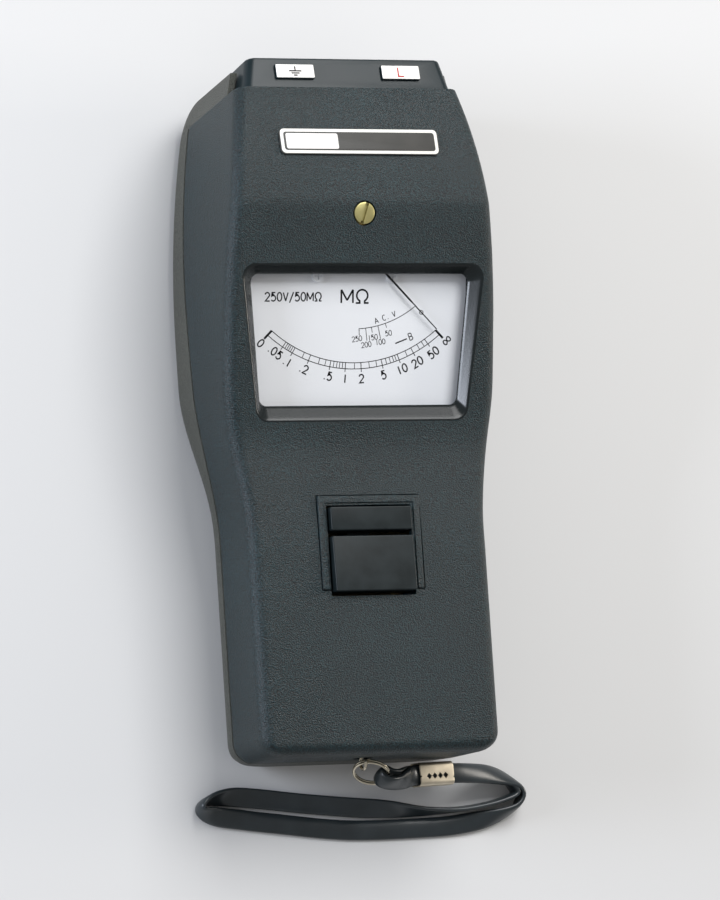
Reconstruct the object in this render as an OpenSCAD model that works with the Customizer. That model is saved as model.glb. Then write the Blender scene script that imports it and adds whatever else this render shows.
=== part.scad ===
// Hand-held analog insulation tester with a wrist strap, lying on its back.
// X runs across the case, Y along it towards the terminals, Z up out of the dial face.

/* [Case] */
// Length from the bottom end to the top edge of the front case
case_len = 205.7; // [203:0.1:212]
// Width of the grip
grip_w = 80.4; // [76:0.2:84]
// Widest width of the head
head_w = 91.4; // [87:0.2:96]
// Height of the grip's face above the back
grip_h = 39.4; // [37.5:0.1:43]
// Wall thickness of both case shells
wall = 2.2; // [1.8:0.1:2.6]
// Plan radius of the two bottom corners
corner_r = 6.5; // [5.5:0.5:9]
// Radius of the edge round the face
face_edge_r = 3.8; // [3:0.1:4.6]
// Back edge radius along the grip
grip_back_r = 15; // [12:0.5:15.5]
// Back edge radius along the head
head_back_r = 5; // [4:0.5:8]
// How much narrower each side of the head is at the terminal end
end_taper = 8.1; // [7.5:0.1:10]
// Height of the parting line above the back in the grip
split_h = 16; // [15.5:0.1:18]
// How far the parting line falls on its way to the terminal end
split_fall = 6.5; // [5:0.5:8]

/* [Face] */
// Slope of the window face and of the dial under it, in degrees
tilt = 10.5; // [9:0.1:12]
// Place of the foot of the window slope, from the bottom end
foot_y = 97; // [95:0.1:99]
// How far the grip's face falls towards that foot
foot_drop = 1.2; // [0.6:0.1:2]
// Place of the crease above the window
crease_y = 169; // [167:0.1:171]
// How far the crowned top face falls from the crease to the end
crown_drop = 5.9; // [4:0.1:7]
// Slope of the terminal end, in degrees
end_tilt = 10.5; // [9:0.1:12]

/* [Window and dial] */
// Length of the window recess along the slope
rim_len = 47.7; // [46:0.1:49]
// Width of the recess at its top edge
rim_top_w = 80.6; // [78:0.1:82]
// Width of the recess at its bottom edge
rim_bottom_w = 71.4; // [69:0.1:73]
// Distance from the pointer's pivot down to the top edge of the recess
rim_below_pivot = 6.9; // [6:0.1:8]
// Depth of the recess from the face to the window
recess_depth = 3; // [2.4:0.1:3.2]
// Thickness of the window
window_t = 1.5; // [1:0.1:1.6]
// Depth of the dial below the face
dial_depth = 7; // [6.9:0.1:7.4]
// Thickness of the dial plate
dial_t = 0.8; // [0.5:0.1:1]
// Width of the dial plate
dial_w = 76; // [74:0.1:77]
// Place of the pointer's pivot, from the bottom end
pivot_y = 158.1; // [157:0.1:159]
// Length of the pointer from its pivot
pointer_len = 38.6; // [36:0.1:40]
// Angle between the middle of the scale and the infinity mark, in degrees
half_sweep = 45.5; // [42:0.5:48]
// Distance from the pivot to the axis of the zero adjuster
adjuster_reach = 8.9; // [8.5:0.1:9.5]
// Diameter of the zero adjuster's head
adjuster_d = 6.8; // [6:0.1:7.6]

/* [Keys] */
// Outer width of the frame round the keys
key_frame_w = 34.3; // [32:0.1:35]
// Width of one leg of that frame
key_frame_leg = 3; // [2.2:0.1:3.2]
// Place of the ends of the frame's legs, from the bottom end
key_frame_y = 50.7; // [49.5:0.1:52]
// Length of the frame
key_frame_len = 28.9; // [28.6:0.1:29.6]
// How far the frame stands out of the face
key_frame_rise = 0.6; // [0.4:0.1:1]
// Gap between a key and the frame
key_gap = 0.55; // [0.4:0.05:0.7]
// Length of the small check key
check_key_len = 7.3; // [6.6:0.1:7.8]
// Gap between the two keys
between_keys = 1.7; // [1.5:0.1:2]
// How far the measure key turns when it is pressed, in degrees
key_turn = 6; // [4:0.5:6.5]
// How far the check key sinks when it is pressed
check_travel = 1.5; // [1:0.1:1.6]

/* [Terminals] */
// Length of the terminal block beyond the end of the front case
cap_len = 9.6; // [8:0.1:11]
// Depth of the terminal block from the face
block_h = 33; // [31:0.1:33.2]
// Length of the rear case's collar beyond the front case
collar_len = 6.8; // [5:0.1:7]
// Distance between the two sockets
socket_pitch = 35.8; // [32:0.1:38]
// Bore of the sockets
socket_bore = 4; // [3.9:0.1:4.2]
// Length of a label tile
label_w = 12.9; // [11:0.1:14]
// Height of a label tile
label_h = 4.5; // [4:0.1:5]

/* [Power and circuit] */
// Diameter of a battery cell
cell_d = 14.5; // [14:0.1:14.5]
// Length of a battery cell
cell_len = 50.5; // [49:0.1:50.5]
// Thickness of the circuit board
board_t = 1.6; // [1.2:0.1:2]
// Height of the circuit board's underside above the back
board_h = 22; // [21.6:0.1:22.6]

/* [Strap] */
// Width of the strap
strap_w = 6.2; // [5.8:0.1:6.6]
// Thickness of the strap
strap_t = 1.8; // [1.6:0.1:1.8]
// Wire thickness of the strap's ring
ring_wire = 0.8; // [0.6:0.1:0.9]

/* [Hidden] */

// Running clearance of a shaft in its hole, and gap left between neighbours that only sit close
fit = 0.05;
near = 0.3;
fine = 48;

// The body's outline: where the neck widens and where the head starts to taper
neck_from = 68;
neck_to = 116;
taper_from = 131;
blend = 6;
back_end_r = 3.5;
back_top_r = 12;

function smooth(t) = let (u = min(1, max(0, t))) u * u * (3 - 2 * u);
function ramp(t, b) = t < -b ? 0 : t > b ? t : (t + b) * (t + b) / (4 * b);
function end_round(d, r) = d <= 0 ? r : d >= r ? 0 : r - sqrt(r * r - (r - d) * (r - d));

function half_w(y) =
    grip_w / 2 + (head_w - grip_w) / 2 * smooth((y - neck_from) / (neck_to - neck_from))
    - (y > taper_from ? end_taper * pow((y - taper_from) / (case_len - taper_from), 2.1) : 0);
foot_h = grip_h - foot_drop;
crease_h = foot_h + tan(tilt) * (crease_y - foot_y);
function face_h(y) =
    y > crease_y ? crease_h - crown_drop * pow((y - crease_y) / (case_len - crease_y), 2)
    : grip_h - foot_drop * smooth((y - 60) / (foot_y - 60)) + tan(tilt) * ramp(y - foot_y, blend);
function back_r(y) = grip_back_r + (head_back_r - grip_back_r) * smooth((y - neck_from - 8) / 44);

end_h = face_h(case_len);
// Where the collar's end plane meets the back's end rounding
back_end_y = case_len + collar_len / cos(end_tilt) - (end_h - back_top_r) * tan(end_tilt);
body_len = case_len + cap_len * cos(end_tilt);

// The dial's frame: its origin is where the pointer's axis meets the dial, tilted with the window
dial_h = foot_h + tan(tilt) * (pivot_y - foot_y) - dial_depth / cos(tilt);
face_zl = dial_depth;
module on_dial() {
    translate([0, pivot_y, dial_h]) rotate([tilt, 0, 0]) children();
}
// The end's frame: its origin is the middle of the front case's top edge
module on_end() {
    translate([0, case_len, end_h]) rotate([-end_tilt, 0, 0]) children();
}

// The whole part is drawn from its bottom end and moved so that the origin is under its middle
eyelet_out = 3.8;
module place() {
    translate([0, -(body_len - eyelet_out) / 2, 0]) children();
}

// The body is a row of slanted cross-sections. Each has the place y where it meets the face
// and a lean: how far it falls back per millimetre below the face. The last ones lean with the end.
function lean(y) = tan(end_tilt) * min(1, max(0, (y - crease_y) / (on_crown(33.7) - crease_y)));
split_bend = 104;
function on_crown(s) = crease_y + s * (case_len - crease_y) / 36.7;
stations = concat(
    [for (a = [0, 22, 45, 68, 90]) [corner_r * (1 - cos(a)), corner_r * (1 - cos(a)), a]],
    [for (y = [56, neck_from, 76, 84, foot_y - blend, foot_y - 3, foot_y, foot_y + 3, split_bend, 110, neck_to,
        123, taper_from, 140, 150, 160, crease_y]) [y, y, 90]],
    [for (s = [8, 16, 24]) [on_crown(s), on_crown(s), 90]]);

// Arc that joins the back to the collar's slanted end, as [y, z] of its points and its centre
arc_turn = 90 - end_tilt;
arc_y = case_len + (collar_len - back_top_r) / cos(end_tilt) - (end_h - back_top_r) * tan(end_tilt);
function end_off(phi) = collar_len - back_top_r + back_top_r * cos(arc_turn - phi);
phi_end = arc_turn - acos((back_top_r - collar_len) / back_top_r);

// Points of one cross-section. y: place on the face; k: lean; a: angle round the bottom corner;
// low: height of its lowest point; t: how far it is set in from the outside
arc_face = [0, 30, 60, 90];
arc_back = [0, 18, 36, 54, 72, 90];
function at(y, k, top, t, a, x_in, z, s) =
    let (yy = a < 90 ? t + (corner_r - t) * (1 - cos(a)) : y - k * (top - z))
    [s * (half_w(yy) - t - (a < 90 ? (corner_r - t) * (1 - sin(a)) : 0) - x_in), yy, z];
function end_fall(a, r, t) = a < 90 ? end_round((corner_r - t) * (1 - cos(a)), r - t) : 0;
function front_ring(y, k, t, a) =
    let (
        top = face_h(y),
        rf = face_edge_r - t,
        up = top - t - end_fall(a, face_edge_r, t),
        sz = split_level(y, k, top))
    concat(
        [at(y, k, top, t, a, 0, sz, -1)],
        [for (b = arc_face) at(y, k, top, t, a, rf - rf * cos(b), up - rf + rf * sin(b), -1)],
        [for (b = arc_face) at(y, k, top, t, a, rf - rf * sin(b), up - rf + rf * cos(b), 1)],
        [at(y, k, top, t, a, 0, sz, 1)]);
function rear_ring(y, k, top, t, a, low, sz) =
    let (
        lo = low + t + end_fall(a, back_end_r, t),
        rb = min(sz - lo - 0.3, max(0.8, back_r(y) - t)))
    concat(
        [at(y, k, top, t, a, 0, sz, 1)],
        [for (b = arc_back) at(y, k, top, t, a, rb - rb * cos(b), lo + rb - rb * sin(b), 1)],
        [for (b = arc_back) at(y, k, top, t, a, rb - rb * sin(b), lo + rb - rb * cos(b), -1)],
        [at(y, k, top, t, a, 0, sz, -1)]);
// Where a leaning cross-section meets the parting line
function split_level(y, k, top) =
    y < split_bend ? split_h
    : let (g = split_fall / (split_end_y - split_bend))
        (split_h - g * (y - k * top - split_bend)) / (1 + g * k);
split_low = split_h - split_fall;
split_end_y = case_len - (end_h - split_low) * tan(end_tilt);

// A shell between outer and inner rows of open profiles, closed at its first profile. The rows may
// go on in a neck, whose profiles have one more point at each side; of its first, only those count.
module skin(outer, inner, neck_out = [], neck_in = []) {
    n = len(outer[0]);
    m = len(outer);
    c = len(neck_out);
    function points(rows, neck) = concat(
        [for (r = rows) for (p = r) p],
        c == 0 ? [] : [neck[0][0], neck[0][n + 1]],
        c == 0 ? [] : [for (i = [1:c - 1]) for (p = neck[i]) p]);
    q = len(points(outer, neck_out));
    rows = [for (i = [0:m - 1]) [for (j = [0:n - 1]) i * n + j]];
    necks = c == 0 ? [] : [for (i = [0:c - 2]) [for (j = [0:n + 1]) m * n + 2 + i * (n + 2) + j]];
    first = c == 0 ? [] : [concat([m * n], rows[m - 1], [m * n + 1])];
    chain = concat(first, necks);
    pairs = concat(
        [for (i = [0:m - 2]) [rows[i], rows[i + 1]]],
        c == 0 ? [] : [for (i = [0:c - 2]) [chain[i], chain[i + 1]]]);
    last = c == 0 ? rows[m - 1] : necks[c - 2];
    one = concat([for (r = rows) r[0]], [for (r = chain) r[0]]);
    two = concat([for (r = rows) r[n - 1]], [for (r = chain) r[n + 1]]);
    polyhedron(
        points = concat(points(outer, neck_out), points(inner, neck_in)),
        faces = concat(
            [rows[0], [for (j = [n - 1:-1:0]) q + j], [0, n - 1, q + n - 1, q]],
            [for (p = pairs) for (j = [0:len(p[0]) - 2]) [p[0][j], p[1][j], p[1][j + 1]]],
            [for (p = pairs) for (j = [0:len(p[0]) - 2]) [p[0][j], p[1][j + 1], p[0][j + 1]]],
            [for (p = pairs) for (j = [0:len(p[0]) - 2]) [q + p[0][j], q + p[1][j + 1], q + p[1][j]]],
            [for (p = pairs) for (j = [0:len(p[0]) - 2]) [q + p[0][j], q + p[0][j + 1], q + p[1][j + 1]]],
            [for (i = [0:len(one) - 2]) [one[i + 1], one[i], q + one[i], q + one[i + 1]]],
            [for (i = [0:len(two) - 2]) [two[i], two[i + 1], q + two[i + 1], q + two[i]]],
            [for (j = [0:len(last) - 2]) [last[j + 1], last[j], q + last[j], q + last[j + 1]]]),
        convexity = 6);
}
front_rows = concat(
    [for (s = stations) [s[0], lean(s[1]), s[2]]],
    [for (s = [30, 34.5, 36.7]) [on_crown(s), lean(on_crown(s)), 90]]);
module front_shell() {
    skin([for (s = front_rows) front_ring(s[0], s[1], 0, s[2])],
        [for (s = front_rows) front_ring(s[0], s[1], wall, s[2])]);
}
// Lowest point of a leaning cross-section, where the back turns up towards the end
function back_low(y, k) =
    let (b = y - k * (face_h(y) - 0.4) - arc_y, r = back_top_r)
    b <= 0 ? 0 : r - sqrt(r * r - b * b);
function rear_row(s, t) = let (top = face_h(s[0]))
    rear_ring(s[0], s[1], top, t, s[2], back_low(s[0], s[1]), split_level(s[0], s[1], top));
// The collar goes on from the last cross-section of the rear shell, up round the terminal block
collar_top = end_h - 7.5;
collar_angles = [phi_end, 35, 52, 67, arc_turn];
function collar_ring(phi, t) =
    let (
        y = case_len + end_off(phi) / cos(end_tilt),
        low = back_top_r - back_top_r * cos(phi),
        k = tan(end_tilt))
    concat(
        [at(y, k, end_h, t, 90, 0, collar_top, 1)],
        rear_ring(y, k, end_h, t, 90, low, low + back_r(y) + 1),
        [at(y, k, end_h, t, 90, 0, collar_top, -1)]);
module rear_shell() {
    skin([for (s = front_rows) rear_row(s, 0)], [for (s = front_rows) rear_row(s, wall)],
        [for (p = collar_angles) collar_ring(p, 0)], [for (p = collar_angles) collar_ring(p, wall)]);
}

module slab(w, l, h, r) {
    // A block on z = 0, centred in X, from y = 0, with its four upright edges rounded
    linear_extrude(h) rounded(w, l, r);
}
module rounded(w, l, r) {
    translate([-w / 2, r]) square([w, l - 2 * r]);
    translate([-w / 2 + r, 0]) square([w - 2 * r, l]);
    for (x = [-w / 2 + r, w / 2 - r]) for (y = [r, l - r]) translate([x, y]) circle(r, $fn = fine);
}
module tube_z(r, ri, h) {
    difference() {
        cylinder(h, r, r, $fn = fine);
        translate([0, 0, -1]) cylinder(h + 2, ri, ri, $fn = fine);
    }
}
module screw(head_r, head_h, shaft_r, shaft_len, slot = 0.5) {
    // Head's underside at z = 0, shaft pointing down
    difference() {
        cylinder(head_h, head_r, head_r, $fn = fine);
        for (a = [0, 90]) rotate([0, 0, a])
            translate([-head_r * 0.6, -slot / 2, head_h * 0.45]) cube([head_r * 1.2, slot, head_h]);
    }
    translate([0, 0, -shaft_len]) cylinder(shaft_len, shaft_r, shaft_r, $fn = fine);
}

// Fastening places, from the bottom end
case_screw_at = [[-25.5, 14], [25.5, 14], [-31, case_len - 19.7], [31, case_len - 19.7]];
case_screw_r = 1.2;
case_boss_r = 3.6;
joint_h = 20;
board_screw_at = [[-31, 24], [31, 24], [-33, 98], [33, 98]];
board_boss_r = 3;
movement_screw_at = [[-33, 1.5], [33, 1.5], [-20, 15], [20, 15]];
movement_boss_r = 3.2;
base_top = -20.4;

// Window recess: a flared opening with rounded corners, in the dial's frame
rim_flare_side = 3.6;
rim_flare_low = 2.2;
rim_flare_top = 3;
rim_flare_bottom = 4.2;
rim_foot = -rim_below_pivot - rim_len;
module trapezoid(low_w, top_w, y0, y1, r) {
    hull() for (s = [-1, 1]) {
        translate([s * (low_w / 2 - r), y0 + r]) circle(r, $fn = 24);
        translate([s * (top_w / 2 - r), y1 - r]) circle(r, $fn = 24);
    }
}
module window_outline(grow) {
    trapezoid(rim_bottom_w - 2 * rim_flare_low + 2 * grow, rim_top_w - 2 * rim_flare_side + 2 * grow,
        rim_foot + rim_flare_bottom - grow, -rim_below_pivot - rim_flare_top + grow, 2.5);
}
module recess_cut() {
    skin = 0.02;
    hull() {
        translate([0, 0, face_zl + 0.5]) linear_extrude(skin)
            trapezoid(rim_bottom_w + 1, rim_top_w + 1, rim_foot - 0.6, -rim_below_pivot + 0.3, 4.5);
        translate([0, 0, face_zl - recess_depth]) linear_extrude(skin) window_outline(-0.1);
    }
}

// Key places
key_w = key_frame_w - 2 * key_frame_leg - 2 * key_gap;
key_top = key_frame_y + key_frame_len - key_frame_leg - key_gap;
check_y0 = key_top - check_key_len;
measure_y1 = check_y0 - between_keys;
measure_y0 = key_frame_y - 0.8;
key_rise = key_frame_rise + 1.1;
pin_y = measure_y1 - 1;
pin_h = grip_h - wall - 0.6;
pin_r = 1;
pin_len = key_w + 2 * key_gap + 7;
key_reach = pin_y - measure_y0;
opening_y0 = measure_y0 - key_gap - key_rise * sin(key_turn) - 0.5;

module front_case() {
    color("#4a5358") difference() {
        union() {
            front_shell();
            front_bosses();
            key_ears();
            on_dial() translate([0, 0, face_zl - recess_depth]) linear_extrude(recess_depth - 1.1)
                window_outline(3.4);
        }
        on_dial() recess_cut();
        on_dial() translate([0, 0, face_zl - recess_depth - 1]) linear_extrude(2) window_outline(0);
        on_dial() translate([0, adjuster_reach, -1]) cylinder(20, 2.5 + fit, 2.5 + fit, $fn = fine);
        on_dial() translate([0, adjuster_reach, face_zl - 0.6])
            cylinder(5, adjuster_d / 2 + 0.15, adjuster_d / 2 + 0.15, $fn = fine);
        key_opening();
        translate([0, pin_y, pin_h]) rotate([0, 90, 0])
            cylinder(pin_len + 0.2, pin_r + fit, pin_r + fit, center = true, $fn = fine);
        nameplate_seat(0.1);
        for (p = case_screw_at) translate([p[0], p[1], joint_h - 1]) cylinder(13, case_screw_r, case_screw_r, $fn = fine);
        for (p = board_screw_at) translate([p[0], p[1], board_h]) cylinder(10, 1, 1, $fn = fine);
        on_dial() for (p = movement_screw_at) translate([p[0], p[1], base_top - 1]) cylinder(9, 1, 1, $fn = fine);
        eyelet_seat();
    }
}
module front_bosses() {
    for (p = case_screw_at) translate([p[0], p[1], joint_h])
        cylinder(face_h(p[1]) - joint_h - 1.2, case_boss_r, case_boss_r, $fn = fine);
    for (p = board_screw_at) translate([p[0], p[1], on_board])
        cylinder(face_h(p[1]) - on_board - 1.2, board_boss_r, board_boss_r, $fn = fine);
    on_dial() for (p = movement_screw_at) translate([p[0], p[1], base_top])
        cylinder(face_zl - base_top - (p[1] > 5 ? 2 : 1.2), movement_boss_r, movement_boss_r, $fn = fine);
}
module key_ears() {
    // Two ears under the face that hold the ends of the measure key's pin
    for (s = [-1, 1]) translate([s * (key_w / 2 + key_gap + 2.3) - 1.5, pin_y - 3, pin_h - 3])
        cube([3, 6, grip_h - pin_h + 1.6]);
}
module key_opening() {
    // The seat of the U-shaped frame and the opening that the keys work in
    frame_w = key_frame_w + 0.3;
    translate([-frame_w / 2, key_frame_y - 0.15, grip_h - 1.2]) cube([frame_w, key_frame_len + 0.3, 10]);
    open_w = key_w + 2 * key_gap + 0.3;
    translate([-open_w / 2, opening_y0, grip_h - 12]) cube([open_w, key_top + key_gap - opening_y0, 30]);
}

module rear_case() {
    color("#5a5d58") difference() {
        union() {
            rear_shell();
            for (p = case_screw_at) translate([p[0], p[1], wall / 2])
                cylinder(joint_h - wall / 2, 4.4, 4.4, $fn = fine);
            translate([0, cover_y0 - 1.5, wall / 2]) slab(cover_w + 3, cover_len + 3, floor_h - wall / 2, 3);
            translate([0, cover_y0, wall / 2]) slab(14, 6.6, cover_t + 5, 1);
        }
        for (p = case_screw_at) translate([p[0], p[1], -1]) {
            cylinder(joint_h + 2, 1.7, 1.7, $fn = fine);
            cylinder(5, 3.3, 3.3, $fn = fine);
        }
        translate([0, cover_y0, -1]) slab(cover_w, cover_len, cover_t + 1, 3);
        translate([0, tray_y0 + tray_t, -1])
            slab(tray_w - 2 * tray_t, tray_y1 - tray_y0 - 2 * tray_t, 12, 1);
        translate([0, cover_y0 + 3.4, -1]) cylinder(12, 1, 1, $fn = fine);
    }
}

// Terminal end
socket_drop = 14;
socket_from = -9;
block_r = 3;
// Width of the terminal block at a place beyond the end of the front case: it narrows with the body
function block_w(out) = 2 * (half_w(case_len + out * cos(end_tilt)) - wall - near);
module block_slice(out) {
    translate([0, out + 0.01, 0]) rotate([90, 0, 0]) linear_extrude(0.01)
        translate([0, -block_h]) rounded(block_w(out), block_h, block_r);
}
module terminal_block() {
    color("#565c60") on_end() difference() {
        union() {
            hull() {
                block_slice(0);
                block_slice(cap_len - 0.01);
            }
            translate([block_r - block_w(cap_len) / 2, socket_from, -block_h])
                cube([block_w(cap_len) - 2 * block_r, 0.1 - socket_from, block_h - wall - 0.6]);
        }
        for (s = [-1, 1]) {
            translate([s * socket_pitch / 2, socket_from - 5, -socket_drop]) rotate([-90, 0, 0])
                cylinder(cap_len - socket_from + 10, 3.2, 3.2, $fn = fine);
            translate([s * label_x, (cap_len - label_h) / 2 - 0.1, -0.6])
                slab(label_w + 0.2, label_h + 0.2, 2, 0.4);
        }
    }
}
label_x = 17.9;
module label(s) {
    on_end() translate([s * label_x, (cap_len - label_h) / 2, -0.6]) slab(label_w, label_h, 1.6, 0.35);
}
module earth_label() {
    color("#f4f1ec") label(-1);
}
module line_label() {
    color("#f4f1ec") label(1);
}
module socket(s) {
    color("#b59a5c") on_end() translate([s * socket_pitch / 2, socket_from, -socket_drop])
        rotate([-90, 0, 0]) difference() {
            union() {
                cylinder(cap_len - socket_from, 3.2, 3.2, $fn = fine);
                translate([0, 0, -3]) cylinder(3, 4.6, 4.6, $fn = fine);
            }
            translate([0, 0, cap_len - socket_from - 16]) cylinder(20, socket_bore / 2, socket_bore / 2, $fn = fine);
        }
}
module earth_socket() {
    socket(-1);
}
module line_socket() {
    socket(1);
}

// Nameplate on the crowned top face
plate_w = 53.5;
plate_len = 8.3;
plate_y = case_len - 17.9;
plate_angle = atan((face_h(plate_y + 4) - face_h(plate_y - 4)) / 8);
module nameplate_seat(gap) {
    translate([0, plate_y, face_h(plate_y)]) rotate([plate_angle, 0, 0])
        translate([0, -plate_len / 2 - gap, -0.5]) slab(plate_w + 2 * gap, plate_len + 2 * gap, 3, 0.6);
}
module nameplate() {
    color("#33332f") translate([0, plate_y, face_h(plate_y)]) rotate([plate_angle, 0, 0])
        translate([0, -plate_len / 2, -0.5]) slab(plate_w, plate_len, 1.3, 0.5);
}

// Window, dial and movement, all in the dial's frame
module window() {
    color("#dfe6ea", 0.35) on_dial() translate([0, 0, face_zl - recess_depth - window_t])
        linear_extrude(window_t) window_outline(2);
}
dial_y0 = rim_foot + 1.6;
dial_y1 = -4;
dial_screw_x = 12.6;
dial_screw_y = -10.6;
module dial_plate() {
    color("#dcdcd8") on_dial() difference() {
        translate([0, dial_y0, -dial_t]) slab(dial_w, dial_y1 - dial_y0, dial_t, 2);
        for (s = [-1, 1]) translate([s * dial_screw_x, dial_screw_y, -5]) cylinder(10, 1.1, 1.1, $fn = fine);
    }
}
module dial_screws() {
    color("#c9c6bd") on_dial() for (s = [-1, 1])
        translate([s * dial_screw_x, dial_screw_y, 0]) screw(1.9, 0.8, 0.95, 5, 0.45);
}
pin_out = 0.9;
adjuster_rise = 0.9;
module zero_adjuster() {
    color("#a39c69") on_dial() translate([0, adjuster_reach, 0]) {
        difference() {
            translate([0, 0, face_zl - 0.6]) cylinder(0.6 + adjuster_rise, adjuster_d / 2, adjuster_d / 2, $fn = fine);
            translate([-0.55, -6, face_zl + 0.1]) cube([1.1, 12, 3]);
        }
        translate([0, 0, face_zl - wall - 0.6]) cylinder(wall + 0.1, 2.5, 2.5, $fn = fine);
        translate([0, -pin_out, 3.3]) cylinder(face_zl - wall - 0.5 - 3.3, 0.4, 0.4, $fn = fine);
    }
}
lever_zl = 3.6;
module zero_lever() {
    // A ring round the jewel screw, a forked arm to the adjuster's pin and a tail for the hairspring
    color("#b59a5c") on_dial() translate([0, 0, lever_zl]) {
        difference() {
            union() {
                cylinder(0.4, 2.7, 2.7, $fn = fine);
                translate([-1.4, 0, 0]) cube([2.8, adjuster_reach + 0.6, 0.4]);
                rotate([0, 0, 250]) translate([0, -0.6, 0]) cube([5, 1.2, 0.4]);
            }
            translate([0, 0, -1]) cylinder(3, 1.3 + fit, 1.3 + fit, $fn = fine);
            translate([-0.52, adjuster_reach - 1.6, -1]) cube([1.04, 4, 3]);
        }
        rotate([0, 0, 250]) translate([4.6, 0, -1.7]) cylinder(1.8, 0.35, 0.35, $fn = 24);
    }
}
post_x = 16;
post_r = 1.8;
bridge_zl = 2.7;
module front_bridge() {
    color("#b59a5c") on_dial() translate([0, 0, bridge_zl]) difference() {
        union() {
            translate([-post_x - 2.4, -2, 0]) cube([2 * post_x + 4.8, 4, 0.8]);
            cylinder(0.8, 3, 3, $fn = fine);
        }
        translate([0, 0, -1]) cylinder(3, 1.3, 1.3, $fn = fine);
        for (s = [-1, 1]) translate([s * post_x, 0, -1]) cylinder(3, 1.1, 1.1, $fn = fine);
    }
}
module bridge_screws() {
    color("#c9c6bd") on_dial() for (s = [-1, 1])
        translate([s * post_x, 0, bridge_zl + 0.8]) screw(1.7, 0.7, 0.95, 5, 0.4);
}
module front_jewel() {
    color("#b59a5c") on_dial() difference() {
        translate([0, 0, bridge_zl - 0.3]) cylinder(1.7, 1.3, 1.3, $fn = fine);
        translate([0, 0, bridge_zl - 1]) cylinder(1.4, 0.5, 0.5, $fn = 24);
        translate([-2, -0.2, bridge_zl + 1]) cube([4, 0.4, 2]);
    }
}
base_t = 1.8;
module rear_jewel() {
    color("#b59a5c") on_dial() difference() {
        translate([0, 0, base_top - base_t - 0.4]) cylinder(base_t + 0.9, 1.3, 1.3, $fn = fine);
        translate([0, 0, base_top - 0.2]) cylinder(2, 0.5, 0.5, $fn = 24);
        translate([-2, -0.2, base_top - base_t - 1.4]) cube([4, 0.4, 1.5]);
    }
}
yoke_r = 13;
yoke_in = 10.6;
yoke_low = -16;
yoke_len = 11;
module movement_base() {
    // A moulded plate with a seat for the yoke ring, two dial pillars and two bridge posts
    color("#2f3234") on_dial() difference() {
        union() {
            translate([0, -15, base_top - base_t]) slab(72, 34, base_t, 3);
            translate([0, 0, base_top - 0.01]) tube_z(yoke_r, yoke_in, yoke_low - base_top + 0.01);
            for (s = [-1, 1]) {
                translate([s * dial_screw_x, dial_screw_y, base_top - 0.01])
                    cylinder(-dial_t - base_top + 0.01, 2.2, 2.2, $fn = fine);
                translate([s * post_x, 0, base_top - 0.01])
                    cylinder(bridge_zl - base_top + 0.01, post_r, post_r, $fn = fine);
            }
        }
        translate([0, 0, base_top - 5]) cylinder(10, 1.3, 1.3, $fn = fine);
        for (p = movement_screw_at) translate([p[0], p[1], base_top - 5]) cylinder(10, 1.3, 1.3, $fn = fine);
        for (s = [-1, 1]) {
            translate([s * dial_screw_x, dial_screw_y, -dial_t - 6]) cylinder(10, 0.95, 0.95, $fn = fine);
            translate([s * post_x, 0, bridge_zl - 5]) cylinder(10, 0.95, 0.95, $fn = fine);
        }
    }
}
module movement_screws() {
    color("#c9c6bd") on_dial() for (p = movement_screw_at)
        translate([p[0], p[1], base_top - base_t]) mirror([0, 0, 1]) screw(2.2, 1.4, 1, 7, 0.5);
}
module yoke_ring() {
    color("#7d8286") on_dial() translate([0, 0, yoke_low]) tube_z(yoke_r, yoke_in, yoke_len);
}
core_r = 7.5;
core_low = -15.5;
core_len = 10;
module core_magnet() {
    color("#8f9396") on_dial() translate([0, 0, core_low]) cylinder(core_len, core_r, core_r, $fn = fine);
}
module core_spacers() {
    // Two brass blocks that hold the core inside the yoke, clear of the coil's sweep
    color("#b59a5c") on_dial() for (a = [0, 180]) rotate([0, 0, a]) intersection() {
        translate([0, 0, core_low + 1]) tube_z(yoke_in, core_r, core_len - 2);
        translate([-2, 0, core_low]) cube([4, 20, 20]);
    }
}
coil_out = 9.8;
coil_t = 1.4;
coil_low = -17.8;
coil_len = 14.6;
coil_w = 3;
module moving_coil() {
    color("#a8623a") on_dial() rotate([0, 0, half_sweep]) difference() {
        translate([-coil_out, -coil_w / 2, coil_low]) cube([2 * coil_out, coil_w, coil_len]);
        translate([-coil_out + coil_t, -5, coil_low + 1.2]) cube([2 * (coil_out - coil_t), 10, coil_len - 2.4]);
    }
}
module pivot_staffs() {
    coil_top = coil_low + coil_len;
    color("#c9c6bd") on_dial() {
        translate([0, 0, coil_top]) cylinder(bridge_zl - 0.3 - 0.2 - coil_top, 0.6, 0.6, $fn = fine);
        translate([0, 0, bridge_zl - 0.6]) cylinder(0.8, 0.45, 0.25, $fn = fine);
        translate([0, 0, base_top + 0.1]) cylinder(coil_low - base_top - 0.1, 0.45, 0.45, $fn = fine);
    }
}
pointer_zl = 1.2;
module pointer() {
    // A thin blade with a hub on the staff and a short counterweight tail
    color("#26262a") on_dial() rotate([0, 0, half_sweep]) difference() {
        union() {
            translate([0, 0, pointer_zl - 0.2]) cylinder(0.7, 1.7, 1.7, $fn = fine);
            translate([0, 0, pointer_zl]) linear_extrude(0.3) polygon([
                [-0.5, 0], [-0.42, -26], [-0.22, -27], [-0.15, -pointer_len],
                [0.15, -pointer_len], [0.22, -27], [0.42, -26], [0.5, 0]]);
            translate([-0.5, 0, pointer_zl]) cube([1, 6.5, 0.3]);
            translate([0, 5.6, pointer_zl - 0.3]) cylinder(0.9, 1.3, 1.3, $fn = fine);
        }
        translate([0, 0, -1]) cylinder(5, 0.6 + fit, 0.6 + fit, $fn = fine);
    }
}
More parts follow.
